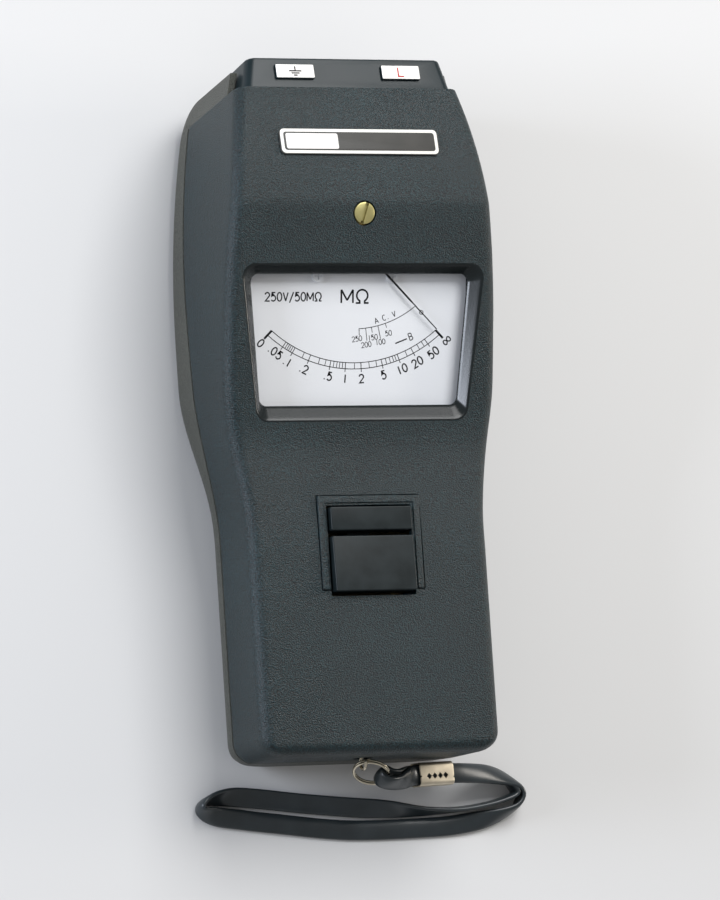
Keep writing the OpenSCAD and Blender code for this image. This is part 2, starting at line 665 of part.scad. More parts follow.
// A flat spiral strip: turns of radius growing from r0 to r1, ending at angle a1
module spiral(r0, r1, turns, a1, t, h) {
    steps = turns * 16;
    function at(i, o) =
        let (u = i / steps, a = a1 - 360 * turns * (1 - u), r = r0 + (r1 - r0) * u + o)
        [r * cos(a), r * sin(a)];
    linear_extrude(h) polygon(concat(
        [for (i = [0:steps]) at(i, t / 2)],
        [for (i = [steps:-1:0]) at(i, -t / 2)]));
}
module front_hairspring() {
    color("#c39b4e") on_dial() translate([0, 0, 1.95]) spiral(1.1, 4.1, 3.5, 250, 0.15, 0.35);
}
module rear_hairspring() {
    color("#c39b4e") on_dial() {
        translate([0, 0, -19.3]) spiral(1.1, 4.4, 3.5, 90, 0.15, 0.5);
        translate([-0.4, 4.45, base_top]) cube([0.8, 0.5, 1.8]);
    }
}

// Keys and what they press
module key_frame() {
    color("#4a5054") translate([0, key_frame_y, grip_h - 1.2]) difference() {
        translate([-key_frame_w / 2, 0, 0]) cube([key_frame_w, key_frame_len, 1.2 + key_frame_rise]);
        translate([-key_frame_w / 2 + key_frame_leg, -1, -1])
            cube([key_frame_w - 2 * key_frame_leg, key_frame_len - key_frame_leg + 1, 5]);
        // A shallow step runs round the inside of the frame
        translate([-key_frame_w / 2 + key_frame_leg - 0.6, -1, 1.2 + key_frame_rise - 0.3])
            cube([key_frame_w - 2 * key_frame_leg + 1.2, key_frame_len - key_frame_leg + 1.6, 5]);
    }
}
wedge_rise = 0.9;
module measure_key() {
    // A wedge, sunk at its hinge and proud at its lower edge, with a skirt and a rib over the switch
    top = grip_h + key_rise;
    color("#383f42") difference() {
        union() {
            rotate([90, 0, 90]) linear_extrude(key_w, center = true) polygon([
                [measure_y0, grip_h - 4.4],
                [measure_y0, top + wedge_rise - 0.3],
                [measure_y0 + 0.3, top + wedge_rise],
                [measure_y1 - 0.3, top],
                [measure_y1, top - 0.3],
                [measure_y1, pin_h - 1.5],
                [pin_y + 1, pin_h - 2.4],
                [pin_y - 2, pin_h - 2.4],
                [pin_y - 4, grip_h - 4.4]]);
        }
        translate([0, pin_y, pin_h]) rotate([0, 90, 0])
            cylinder(60, pin_r + fit, pin_r + fit, center = true, $fn = fine);
        translate([-key_w / 2 + 1.6, measure_y0 + 1.6, grip_h - 10])
            cube([key_w - 3.2, plunger_y - 2.5 - measure_y0 - 1.6, 8.5]);
    }
}
module key_pin() {
    color("#c9c6bd") translate([0, pin_y, pin_h]) rotate([0, 90, 0])
        cylinder(pin_len, pin_r, pin_r, center = true, $fn = fine);
}
module check_key() {
    top = grip_h + key_rise;
    color("#383f42") {
        translate([0, check_y0, grip_h - wall - 1.6 - check_travel]) {
            translate([-key_w / 2, 0, 0]) cube([key_w, check_key_len, top - 0.3 - (grip_h - wall - 1.6 - check_travel)]);
        }
        translate([-key_w / 2 + 0.3, check_y0 + 0.3, top - 0.31]) cube([key_w - 0.6, check_key_len - 0.6, 0.31]);
        for (s = [-1, 1]) translate([s * (key_w / 2 + 0.9) - 1.2, check_y0 + 1, face_h(key_top) - wall - 1.4])
            cube([2.4, check_key_len - 1, 1.2]);
    }
}
plunger_r = 1.5;
plunger_y = pin_y - 9;
switch_w = 8;
switch_top = board_h + board_t + 7;
check_y = check_y0 + check_key_len / 2;
key_under = grip_h - 4.4;
check_under = grip_h - wall - 1.6 - check_travel;
module check_plunger() {
    color("#d9d6cc") translate([0, check_y, switch_top - 3.2])
        cylinder(check_under - switch_top + 3.2, plunger_r, plunger_r, $fn = fine);
}
module measure_plunger() {
    color("#d9d6cc") translate([0, plunger_y, switch_top - 3.2])
        cylinder(key_under - near - switch_top + 3.2, plunger_r, plunger_r, $fn = fine);
}
module key_switch(y) {
    color("#2c2f31") difference() {
        translate([0, y - switch_w / 2, board_h + board_t]) slab(switch_w, switch_w, switch_top - board_h - board_t, 0.8);
        translate([0, y, switch_top - 5.2]) cylinder(10, plunger_r + fit, plunger_r + fit, $fn = fine);
    }
}
module measure_switch() {
    key_switch(plunger_y);
}
module check_switch() {
    key_switch(check_y);
}

// Circuit
board_w = 70;
board_y0 = 5;
board_y1 = 136;
module circuit_board() {
    color("#7a6a3c") difference() {
        translate([0, board_y0, board_h]) slab(board_w, board_y1 - board_y0, board_t, 3);
        for (p = case_screw_at) translate([p[0], p[1], 10]) cylinder(40, case_boss_r + 0.9, case_boss_r + 0.9, $fn = fine);
        for (p = board_screw_at) translate([p[0], p[1], 10]) cylinder(40, 1.3, 1.3, $fn = fine);
    }
}
module board_screws() {
    color("#c9c6bd") for (p = board_screw_at)
        translate([p[0], p[1], board_h]) mirror([0, 0, 1]) screw(2.2, 1.3, 1, 7, 0.5);
}
on_board = board_h + board_t;
trafo_y = 30;
module transformer_core() {
    // Two E halves round the bobbin: side limbs, yokes and a centre limb
    color("#4a4a4c") translate([0, trafo_y, on_board]) difference() {
        translate([-11, -9, 0]) cube([22, 18, 9.4]);
        for (s = [-1, 1]) translate([s * 5.6 - 2.4, -6, -1]) cube([4.8, 12, 12]);
    }
}
module transformer_bobbin() {
    color("#a8623a") translate([0, trafo_y, on_board]) difference() {
        translate([-7.7, -5.7, 0]) cube([15.4, 11.4, 9.2]);
        translate([-3.5, -10, -1]) cube([7, 20, 12]);
    }
}
module capacitors() {
    color("#2f4a63") {
        for (p = [[-20, 44, 4, 11], [-20, 56, 3.2, 9]]) translate([p[0], p[1], on_board])
            cylinder(p[3], p[2], p[2], $fn = fine);
        translate([21, 40, on_board]) translate([-4, 0, 0]) cube([8, 16, 7]);
    }
}
module resistors() {
    color("#b59b78") for (i = [0:4]) translate([-24 + 8 * i, 92, on_board + 1.3]) rotate([-90, 0, 0])
        cylinder(9, 1.3, 1.3, $fn = fine);
}

// Battery compartment at the back: two cells side by side and two in line
cover_t = 2;
cell_gap = 0.7;
cell_h = cover_t + 0.6 + cell_d / 2;
cell_x = cell_d / 2 + cell_gap / 2;
cells_y0 = 17.5;
cells_end = cells_y0 + 2 * cell_len;
tray_t = 1.4;
tray_w = 2 * (cell_x + cell_d / 2) + 1 + 2 * tray_t;
tray_y0 = cells_y0 - 6;
tray_y1 = cells_end + 0.6 + tray_t;
tray_top = cell_h + cell_d / 2 + 0.4 + tray_t;
floor_h = cover_t + 2;
cover_w = tray_w + 5;
cover_y0 = tray_y0 - 7;
cover_len = tray_y1 - cover_y0 + 2;
module battery_tray() {
    color("#3a3d3e") difference() {
        translate([0, tray_y0, floor_h]) slab(tray_w, tray_y1 - tray_y0, tray_top - floor_h, 2);
        translate([0, tray_y0 + tray_t, -1]) slab(tray_w - 2 * tray_t, tray_y1 - tray_y0 - 2 * tray_t, tray_top - tray_t + 1, 1);
    }
}
module cells() {
    color("#8b8f93") for (s = [-1, 1]) for (i = [0, 1])
        translate([s * cell_x, cells_y0 + i * cell_len, cell_h]) rotate([-90, 0, 0]) {
            cylinder(cell_len - 1, cell_d / 2, cell_d / 2, $fn = fine);
            cylinder(cell_len, 2.75, 2.75, $fn = fine);
        }
}
module cell_springs() {
    color("#c9c6bd") for (s = [-1, 1]) translate([s * cell_x, cells_y0 - 3.68, cell_h]) rotate([-90, 0, 0])
        for (i = [0:5]) translate([0, 0, i * 0.65]) rotate_extrude($fn = fine)
            translate([4.6 - 0.5 * i, 0]) circle(0.42, $fn = 16);
}
module cell_plates() {
    color("#c9c6bd") {
        translate([-tray_w / 2 + tray_t + 1, tray_y0 + tray_t, floor_h]) cube([tray_w - 2 * tray_t - 2, 0.5, 12]);
        for (s = [-1, 1]) translate([s * cell_x - 5, tray_y1 - tray_t - 0.5, floor_h]) cube([10, 0.5, 12]);
    }
}
module battery_cover() {
    color("#54585a") difference() {
        translate([0, cover_y0 + 0.15, 0]) slab(cover_w - 0.3, cover_len - 0.3, cover_t, 2.9);
        translate([0, cover_y0 + 3.4, -1]) cylinder(6, 1.6, 1.6, $fn = fine);
        translate([0, cover_y0 + 3.4, -1]) cylinder(2, 3, 3, $fn = fine);
        for (i = [0:5]) translate([-9, cover_y0 + cover_len - 12 + 1.6 * i, -1]) cube([18, 0.8, 1.4]);
    }
}
module cover_screw() {
    color("#c9c6bd") translate([0, cover_y0 + 3.4, 1]) mirror([0, 0, 1]) screw(2.8, 0.9, 1, 6, 0.6);
}
module case_screws() {
    color("#c9c6bd") for (p = case_screw_at) translate([p[0], p[1], 4])
        mirror([0, 0, 1]) screw(2.9, 2, case_screw_r, joint_h + 6, 0.7);
}

// Strap hardware and strap, from the bottom end, the strap lying on the table
eyelet_h = 23;
eyelet_r = 2;
eyelet_wire = 1;
eyelet_y = -1.3;
ring_r = 5.4;
ring_at = [3.6, -4.15, 20.5];
ring_turn = [0, 64, -113.1];
clamp_at = [21.6, -5, 14];
clamp_turn = [0, 10.9, 2.2];
clamp_len = 13;
clamp_w = strap_w + 1.2;
clamp_h = 5.7;
// Middle of the strap as [x, y, z], and the direction of its width there
strap_way = [
    [27.5, -4.8, 11.6, 0, 1, 0], [21.4, -5, 12.8, 0, 1, 0], [16.5, -5.1, 15.6, 0.1, 0.8, 0.4],
    [12.6, -5.2, 18.8, 0.1, 0.6, 0.8], [9.9, -4.7, 20.1, 0.1, 0.43, 0.9],
    [7.75, -3.75, 20, 0.1, 0.43, 0.9], [6, -4.8, 20.7, 0.1, 0.43, 0.9],
    [6.3, -6.7, 21.5, 0.1, 0.43, 0.9], [8.3, -7.8, 22, 0.1, 0.43, 0.9],
    [12.2, -7.8, 20.6, 0.1, 0.55, 0.8], [16.8, -6.6, 18, 0.1, 0.9, 0.4], [21.8, -5, 15.2, 0, 1, 0],
    [34.7, -4.5, 12.7, 0, 1, 0], [42, -4.3, 10.6, 0, 1, -0.1], [50, -4, 7.6, 0, 0.9, -0.4],
    [57, -4.6, 4.7, 0, 0.5, -0.9], [61.5, -7.2, 3.7, 0, 0.1, -1], [62.6, -11.2, 3.4, 0, 0, -1],
    [60, -15.2, 3.4, 0, -0.2, -1], [54, -18, 3.2, 0, -0.6, -0.8], [44, -19.6, 1.7, 0, -1, -0.2],
    [32, -20.4, 1, 0, -1, 0], [4, -20.4, 1, 0, -1, 0], [-22, -17.2, 1.1, 0, -1, 0],
    [-33, -15.4, 2.2, 0, -0.9, -0.4], [-40.5, -14.4, 3.3, 0, -0.5, -0.9],
    [-44.7, -12.8, 3.4, 0, 0, -1], [-45.5, -10.6, 3.4, 0, 0, -1], [-42.5, -9.2, 3.4, 0, -0.3, -1],
    [-35, -9.2, 2.8, 0, -0.8, -0.6], [-26, -9.8, 1.5, 0, -1, -0.1], [-12, -11.6, 1, 0, -1, 0],
    [4, -13.3, 1.4, 0, -1, -0.1], [16, -14.2, 2.7, 0, -0.8, -0.6], [28, -15.3, 3.4, 0, -0.3, -1],
    [40, -15.3, 3.4, 0, 0, -1], [49, -14.3, 3.4, 0, 0, -1], [55.5, -12.9, 3.4, 0, 0, -1],
    [60.2, -11.1, 3.4, 0, 0, -1], [59.5, -8.9, 3.5, 0, 0.1, -1], [56.2, -6.6, 3.7, 0, 0.5, -0.9],
    [49.2, -4.9, 5.6, 0, 0.9, -0.4], [41.3, -4.5, 8.4, 0, 1, -0.1], [34.3, -4.5, 10.3, 0, 1, 0],
    [29.2, -4.7, 11.3, 0, 1, 0]];
function spline(p, i, u) =
    let (
        n = len(p) - 1,
        a = p[max(0, i - 1)], b = p[i], c = p[min(n, i + 1)], d = p[min(n, i + 2)])
    b + 0.5 * u * ((c - a) + u * ((2 * a - 5 * b + 4 * c - d) + u * (3 * b - a - 3 * c + d)));
strap_line = concat(
    [for (i = [0:len(strap_way) - 2]) for (u = [0, 0.5]) spline(strap_way, i, u)],
    [strap_way[len(strap_way) - 1]]);
function unit(v) = v / norm(v);
function part3(v, i) = [v[i], v[i + 1], v[i + 2]];
// The strap's D-shaped section, as [across, up]
strap_section = [
    [0.5, -0.5], [0.5, 0], [0.3, 0.4], [0, 0.5], [-0.3, 0.4], [-0.5, 0], [-0.5, -0.5], [0, -0.5]];
function strap_ring_at(i) =
    let (
        n = len(strap_line) - 1,
        t = unit(part3(strap_line[min(n, i + 1)], 0) - part3(strap_line[max(0, i - 1)], 0)),
        w0 = part3(strap_line[i], 3),
        w = unit(w0 - t * (w0 * t)),
        up = cross(t, w))
    [for (q = strap_section) part3(strap_line[i], 0) + w * q[0] * strap_w + up * q[1] * strap_t];
module loft(rings) {
    n = len(rings[0]);
    m = len(rings);
    polyhedron(
        points = [for (r = rings) for (p = r) p],
        faces = concat(
            [[for (j = [0:n - 1]) j]],
            [for (i = [0:m - 2]) for (j = [0:n - 1]) let (k = (j + 1) % n)
                [i * n + j, (i + 1) * n + j, (i + 1) * n + k]],
            [for (i = [0:m - 2]) for (j = [0:n - 1]) let (k = (j + 1) % n)
                [i * n + j, (i + 1) * n + k, i * n + k]],
            [[for (j = [n - 1:-1:0]) (m - 1) * n + j]]),
        convexity = 6);
}
module strap() {
    color("#2c3134") loft([for (i = [0:len(strap_line) - 1]) strap_ring_at(i)]);
}
module eyelet_seat() {
    // A shallow round hollow in the end wall and the hole of the eyelet's shank
    translate([0, 0, eyelet_h]) rotate([-90, 0, 0]) {
        translate([0, 0, -1]) cylinder(2.3, 3.2, 3.2, $fn = fine);
        cylinder(10, eyelet_wire, eyelet_wire, $fn = fine);
    }
}
module strap_eyelet() {
    // A wire loop on a threaded shank
    color("#b9a06a") translate([0, 0, eyelet_h]) {
        translate([0, eyelet_y, 0]) rotate([0, 90, 0]) rotate_extrude($fn = fine)
            translate([eyelet_r, 0]) circle(eyelet_wire / 2, $fn = 24);
        translate([0, eyelet_y + eyelet_r, 0]) rotate([-90, 0, 0])
            cylinder(wall + 1.7, eyelet_wire - fit, eyelet_wire - fit, $fn = fine);
    }
}
module strap_nut() {
    color("#b9a06a") translate([0, wall, eyelet_h]) rotate([-90, 0, 0]) difference() {
        cylinder(1.6, 2.8, 2.8, $fn = 6);
        translate([0, 0, -1]) cylinder(4, eyelet_wire - fit, eyelet_wire - fit, $fn = fine);
    }
}
// A split ring of doubled wire, sloping down from the eyelet to the strap's folded end
module strap_ring() {
    color("#c9bfa6") translate(ring_at) rotate(ring_turn) for (s = [-1, 1])
        translate([0, 0, s * (ring_wire / 2 - 0.02)]) rotate_extrude($fn = fine)
            translate([ring_r, 0]) circle(ring_wire / 2, $fn = 24);
}
module strap_clamp() {
    // A flattened metal sleeve with a row of diamond holes along its seam
    color("#b8a27c") translate(clamp_at) rotate(clamp_turn) difference() {
        translate([0, -clamp_w / 2, -clamp_h / 2]) cube([clamp_len, clamp_w, clamp_h]);
        translate([-1, -clamp_w / 2 + 0.5, -clamp_h / 2 + 0.5]) cube([clamp_len + 2, clamp_w - 1, clamp_h - 1]);
        for (i = [0:3]) translate([clamp_len * (i + 0.5) / 4, (i % 2 - 0.5) * 1.6, 0]) rotate([0, 0, 45])
            translate([-0.6, -0.6, 0]) cube([1.2, 1.2, clamp_h]);
    }
}
place() front_case();
place() rear_case();
place() terminal_block();
place() earth_label();
place() line_label();
place() earth_socket();
place() line_socket();
place() nameplate();
place() window();
place() dial_plate();
place() dial_screws();
place() zero_adjuster();
place() zero_lever();
place() front_bridge();
place() bridge_screws();
place() front_jewel();
place() rear_jewel();
place() movement_base();
place() yoke_ring();
place() core_magnet();
place() core_spacers();
place() moving_coil();
place() pointer();
place() pivot_staffs();
place() front_hairspring();
place() rear_hairspring();
place() movement_screws();
place() key_frame();
place() measure_key();
place() key_pin();
place() check_key();
place() check_plunger();
place() measure_plunger();
place() measure_switch();
place() check_switch();
place() circuit_board();
place() board_screws();
place() transformer_core();
place() transformer_bobbin();
place() capacitors();
place() resistors();
place() battery_tray();
place() cells();
place() cell_springs();
place() cell_plates();
place() battery_cover();
place() cover_screw();
place() case_screws();
place() strap_eyelet();
place() strap_nut();
place() strap_ring();
place() strap_clamp();
place() strap();
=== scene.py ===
# %% [markdown]
# # A hand-held insulation tester
# The object is a black moulded case with a slanted meter window, two push keys on its grip,
# a terminal block at its far end and a strap on a ring at its near end. The CAD part gives every
# size, so each surface here starts from the same numbers and only adds what a renderer can show:
# smooth curves, soft edges, grain, print and shine.

# %% Load the frame
import bpy
import numpy as np
from mathutils import Matrix


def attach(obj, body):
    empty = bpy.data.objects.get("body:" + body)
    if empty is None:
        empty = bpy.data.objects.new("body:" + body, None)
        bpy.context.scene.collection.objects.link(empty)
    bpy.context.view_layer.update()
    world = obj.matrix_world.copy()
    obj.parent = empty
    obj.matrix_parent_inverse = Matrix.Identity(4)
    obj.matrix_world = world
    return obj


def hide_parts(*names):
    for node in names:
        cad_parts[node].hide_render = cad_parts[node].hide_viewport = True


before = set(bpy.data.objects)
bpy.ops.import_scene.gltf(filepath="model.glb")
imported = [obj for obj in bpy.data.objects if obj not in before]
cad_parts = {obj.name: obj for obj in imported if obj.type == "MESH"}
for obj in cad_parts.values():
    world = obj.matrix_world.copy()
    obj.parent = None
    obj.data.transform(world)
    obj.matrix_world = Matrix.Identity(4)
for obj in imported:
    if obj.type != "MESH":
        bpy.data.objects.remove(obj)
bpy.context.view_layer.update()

# %% [markdown]
# ## A few tools for surfaces
# Every new piece is a grid of points, worked out as one array. All its formulas are in millimetres,
# with y counted from the bottom end of the case, as it was measured. One function turns them into
# metres in the frame of the CAD part.

# %% Points to meshes
CASE_LEN, BLOCK_LEN, EYELET_OUT = 205.7, 9.6, 3.8
TILT = np.radians(10.5)
TAN = np.tan(TILT)
MIDDLE_Y = (CASE_LEN + BLOCK_LEN * np.cos(TILT) - EYELET_OUT) / 2


def to_frame(points):
    """Metres in the part's frame: millimetres over 1000, after y is moved by the middle of the part."""
    return (np.asarray(points, float).reshape(-1, 3) - [0, MIDDLE_Y, 0]) / 1000


def add_object(name, data):
    """A new object of the scene."""
    made = bpy.data.objects.new(name, data)
    bpy.context.scene.collection.objects.link(made)
    return made


def make_piece(name, points, faces, sharp=35):
    """A mesh object at the origin. Faces that meet at more than sharp degrees keep a hard edge."""
    mesh = bpy.data.meshes.new(name)
    mesh.from_pydata(to_frame(points).tolist(), [], [list(map(int, f)) for f in faces])
    mesh.update()
    mesh.shade_smooth()
    mesh.set_sharp_from_angle(angle=np.radians(sharp))
    return add_object(name, mesh)


def spin(angle):
    """The matrix that turns rows of x and y by an angle."""
    c, s = np.cos(angle), np.sin(angle)
    return np.array([[c, s], [-s, c]])


def quads(index):
    """Quads between neighbouring rows and columns of a grid of point numbers."""
    a, b, c, d = index[:-1, :-1], index[1:, :-1], index[1:, 1:], index[:-1, 1:]
    return np.stack([a, b, c, d], axis=-1).reshape(-1, 4).tolist()


def tube(rings, start=0):
    """Faces of a closed tube: ring i joins ring i + 1, the last point of a ring joins its first,
    and each end is closed by one face."""
    rows, n = rings.shape[:2]
    index = start + np.arange(rows * n).reshape(rows, n)
    sides = quads(np.concatenate([index, index[:, :1]], axis=1))
    return sides + [index[0].tolist(), index[-1][::-1].tolist()]


def tubes(stacks):
    """Points and faces of several closed tubes as one mesh."""
    starts = np.cumsum([0] + [rings[..., 0].size for rings in stacks])
    faces = [f for rings, start in zip(stacks, starts) for f in tube(rings, start)]
    return np.concatenate([rings.reshape(-1, 3) for rings in stacks]), faces


def loop_faces(rings):
    """Faces of a surface that closes both ways: the last ring joins the first one as well."""
    index = np.arange(rings[..., 0].size).reshape(rings.shape[:2])
    return quads(np.pad(index, ((0, 1), (0, 1)), mode="wrap"))


# %% [markdown]
# ## Camera
# The photograph was taken from the lower left of the case, almost straight above it, with a long
# lens. Its axes and its place, in metres, were fitted to some forty points of the case. A long lens
# keeps its edges nearly parallel, as they are there.

# %% Camera
CAMERA_AT = [-0.886987, -0.2629, 1.950251]
right = np.array([0.9086, -0.0662, 0.4123])
up = np.array([0.0108, 0.9908, 0.1351])
back = np.cross(right, up)
up = np.cross(back, right)
axes = np.stack([v / np.linalg.norm(v) for v in (right, up, back)], axis=1)

view = bpy.data.cameras.new("camera")
view.sensor_width, view.lens = 24, 184
pose = np.eye(4)
pose[:3, :3] = axes
pose[:3, 3] = CAMERA_AT
camera = add_object("camera", view)
camera.matrix_world = Matrix(pose.tolist())
bpy.context.scene.camera = camera
print("camera %.2f m from the part's middle" % np.linalg.norm(pose[:3, 3]))

# %% [markdown]
# ## Strap
# The strap is one moulded band with a domed outer face, folded round a ring and held by a pressed
# sleeve. It is stiff enough to stand on its edge where it turns. It could be a curve with a bevel,
# but its width has to turn along the way, so each control point here carries a place and the
# direction of the width, and a smooth curve runs through both at once.

# %% The strap's route
STRAP_WIDTH, STRAP_THICK = 6.2, 1.8
strap_way = np.array([
    [27.5, -4.8, 11.6, 0, 1, 0], [21.4, -5, 12.8, 0, 1, 0], [16.5, -5.1, 15.6, 0.1, 0.8, 0.4],
    [12.6, -5.2, 18.8, 0.1, 0.6, 0.8], [9.9, -4.7, 20.1, 0.1, 0.43, 0.9],
    [7.75, -3.75, 20, 0.1, 0.43, 0.9], [6, -4.8, 20.7, 0.1, 0.43, 0.9],
    [6.3, -6.7, 21.5, 0.1, 0.43, 0.9], [8.3, -7.8, 22, 0.1, 0.43, 0.9],
    [12.2, -7.8, 20.6, 0.1, 0.55, 0.8], [16.8, -6.6, 18, 0.1, 0.9, 0.4], [21.8, -5, 15.2, 0, 1, 0],
    [34.7, -4.6, 12.7, 0, 1, 0], [42, -4.6, 10.6, 0, 1, -0.1], [50, -4.9, 7.6, 0, 0.95, -0.3],
    [57, -6, 4.8, 0, 0.7, -0.7], [61.5, -8.3, 3.8, 0, 0.3, -1], [62.8, -11.7, 3.4, 0, 0, -1],
    [60.3, -15.4, 3.4, 0, -0.25, -1], [54, -18, 3.1, 0, -0.65, -0.75], [44, -19.6, 1.7, 0, -1, -0.2],
    [32, -20.4, 1, 0, -1, 0], [4, -20.4, 1, 0, -1, 0], [-22, -17.4, 1.1, 0, -1, 0],
    [-33, -16, 1.5, 0, -1, -0.2], [-41, -15, 2.4, 0, -0.9, -0.5],
    [-45.6, -13.6, 3.1, 0, -0.5, -0.9], [-47.1, -11.8, 3.4, 0, -0.1, -1], [-45.6, -10, 3.3, 0, -0.2, -1],
    [-41.5, -9, 2.9, 0, -0.6, -0.8], [-35, -8.9, 2.2, 0, -0.9, -0.4], [-26, -9.8, 1.4, 0, -1, -0.1],
    [-12, -11.6, 1, 0, -1, 0], [4, -13.3, 1.4, 0, -1, -0.1], [16, -14.2, 2.7, 0, -0.8, -0.6],
    [28, -15.3, 3.4, 0, -0.3, -1],
    [40, -15.3, 3.4, 0, 0, -1], [49, -14.3, 3.4, 0, 0, -1], [55.5, -12.9, 3.4, 0, 0, -1],
    [60.2, -11.1, 3.4, 0, 0, -1], [59.5, -8.9, 3.5, 0, 0.1, -1], [56.2, -6.6, 3.7, 0, 0.5, -0.9],
    [49.2, -4.9, 5.6, 0, 0.9, -0.4], [41.3, -4.5, 8.4, 0, 1, -0.1], [34.3, -4.5, 10.3, 0, 1, 0],
    [29.2, -4.7, 11.3, 0, 1, 0]])


def smooth_line(points, steps):
    """Catmull-Rom curve: between b and c it is b + u/2 ((c-a) + u ((2a-5b+4c-d) + u (3b-a-3c+d)))."""
    p = np.concatenate([points[:1], points, points[-1:]])
    a, b, c, d = (p[i:len(p) - 3 + i, None, :] for i in range(4))
    u = (np.arange(steps) / steps)[None, :, None]
    line = b + 0.5 * u * ((c - a) + u * ((2 * a - 5 * b + 4 * c - d) + u * (3 * b - a - 3 * c + d)))
    return np.concatenate([line.reshape(-1, points.shape[1]), points[-1:]])


def unit(v):
    """Each vector over its own length."""
    return v / np.linalg.norm(v, axis=-1, keepdims=True)


strap_line = smooth_line(strap_way, steps=12)
strap_length = np.linalg.norm(np.diff(strap_line[:, :3], axis=0), axis=1).sum()
print("strap line of %d points, %.0f mm" % (len(strap_line), strap_length))

# %% [markdown]
# The section is a flat band with round edges and a crowned outer face. The inner face has a
# shallow channel, which gives the soft double highlight of such moulded straps.

# %% The strap's surface
section = np.array([
    [0.5, -0.28], [0.495, 0.02], [0.45, 0.2], [0.36, 0.34], [0.2, 0.45], [0, 0.5], [-0.2, 0.45],
    [-0.36, 0.34], [-0.45, 0.2], [-0.495, 0.02], [-0.5, -0.28], [-0.47, -0.46], [-0.41, -0.5],
    [-0.34, -0.44], [0, -0.4], [0.34, -0.44], [0.41, -0.5], [0.47, -0.46]])


def band(line, outline, width, thick):
    """At each point of the line the outline is laid across the width direction, which is first
    made square to the line, and across the direction square to both."""
    along = unit(np.gradient(line[:, :3], axis=0))
    across = unit(line[:, 3:] - along * np.sum(line[:, 3:] * along, axis=1, keepdims=True))
    out = np.cross(along, across)
    return (line[:, None, :3] + across[:, None] * outline[None, :, :1] * width
            + out[:, None] * outline[None, :, 1:] * thick)


strap_rings = band(strap_line, section, STRAP_WIDTH, STRAP_THICK)
strap = make_piece("wrist_strap", strap_rings, tube(strap_rings), sharp=60)
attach(strap, "case")
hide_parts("strap")
print("strap surface:", len(strap.data.polygons), "faces")

# %% [markdown]
# ## Floor and light
# The tester lies on a plain pale table. The main lamp hangs behind the head, where its soft
# reflection brightens the crown and leaves the slope below the crease dark, and the top wall of the
# window throws a short shadow on the dial. A small cool lamp at the left draws the bright line
# along the rounded edge there, and a weaker warm one fills the right. With an even sky they give a
# level at which a grey shows about as it is written.

# %% Floor and lamps
def put(node, values):
    """Gives inputs of a shader node their values."""
    for name, value in values.items():
        node.inputs[name].default_value = value


floor_mesh = bpy.data.meshes.new("table_top")
floor_mesh.from_pydata([(-3, -3, 0), (3, -3, 0), (3, 3, 0), (-3, 3, 0)], [], [(0, 1, 2, 3)])
floor = add_object("table_top", floor_mesh)
table = bpy.data.materials.new("pale_table")
table.use_nodes = True
put(table.node_tree.nodes["Principled BSDF"], {"Base Color": (0.66, 0.66, 0.66, 1), "Roughness": 0.7})
floor.data.materials.append(table)


def soft_lamp(name, place, size, watts, colour=(1, 1, 1)):
    """A square lamp of the given side at a place, turned so that its light falls on the tester."""
    light = bpy.data.lights.new(name, "AREA")
    light.size, light.energy, light.color = size, watts, colour
    back_axis = unit(np.array(place))
    side_axis = unit(np.cross([0.0, 1.0, 0.1], back_axis))
    turn = np.eye(4)
    turn[:3, :3] = np.stack([side_axis, np.cross(back_axis, side_axis), back_axis], axis=1)
    turn[:3, 3] = place
    add_object(name, light).matrix_world = Matrix(turn.tolist())


soft_lamp("key_lamp", (0.3, 0.82, 1.08), 0.8, 16.5)
soft_lamp("left_lamp", (-1.15, 0.15, 0.38), 0.4, 12, (0.82, 0.88, 1))
soft_lamp("right_lamp", (1.15, 0.1, 0.4), 0.3, 4, (1, 0.94, 0.86))
world = bpy.data.worlds.new("sky")
world.use_nodes = True
put(world.node_tree.nodes["Background"], {"Color": (0.5, 0.5, 0.5, 1), "Strength": 0.72})
bpy.context.scene.world = world
bpy.context.scene.view_settings.view_transform = "Standard"

# %% [markdown]
# ## Finishes
# Most of the case is one black plastic with a fine leather grain from the mould; the keys, the
# terminal block and the window's rim are polished smoother. A grain could be modelled, but at
# less than half a millimetre a bump is enough, and painted shade darkens the valleys between its
# pebbles. Each finish mixes two close tones over slow noise, so no face is one flat colour, and
# lets the roughness drift with the same noise.

# %% A mixer for finishes
def linear(*rgb):
    """Linear light of an 8-bit screen colour: ((c / 255 + 0.055) / 1.055) to the power 2.4."""
    c = np.array(rgb) / 255
    return tuple(np.where(c > 0.04045, ((c + 0.055) / 1.055) ** 2.4, c / 12.92)) + (1.0,)


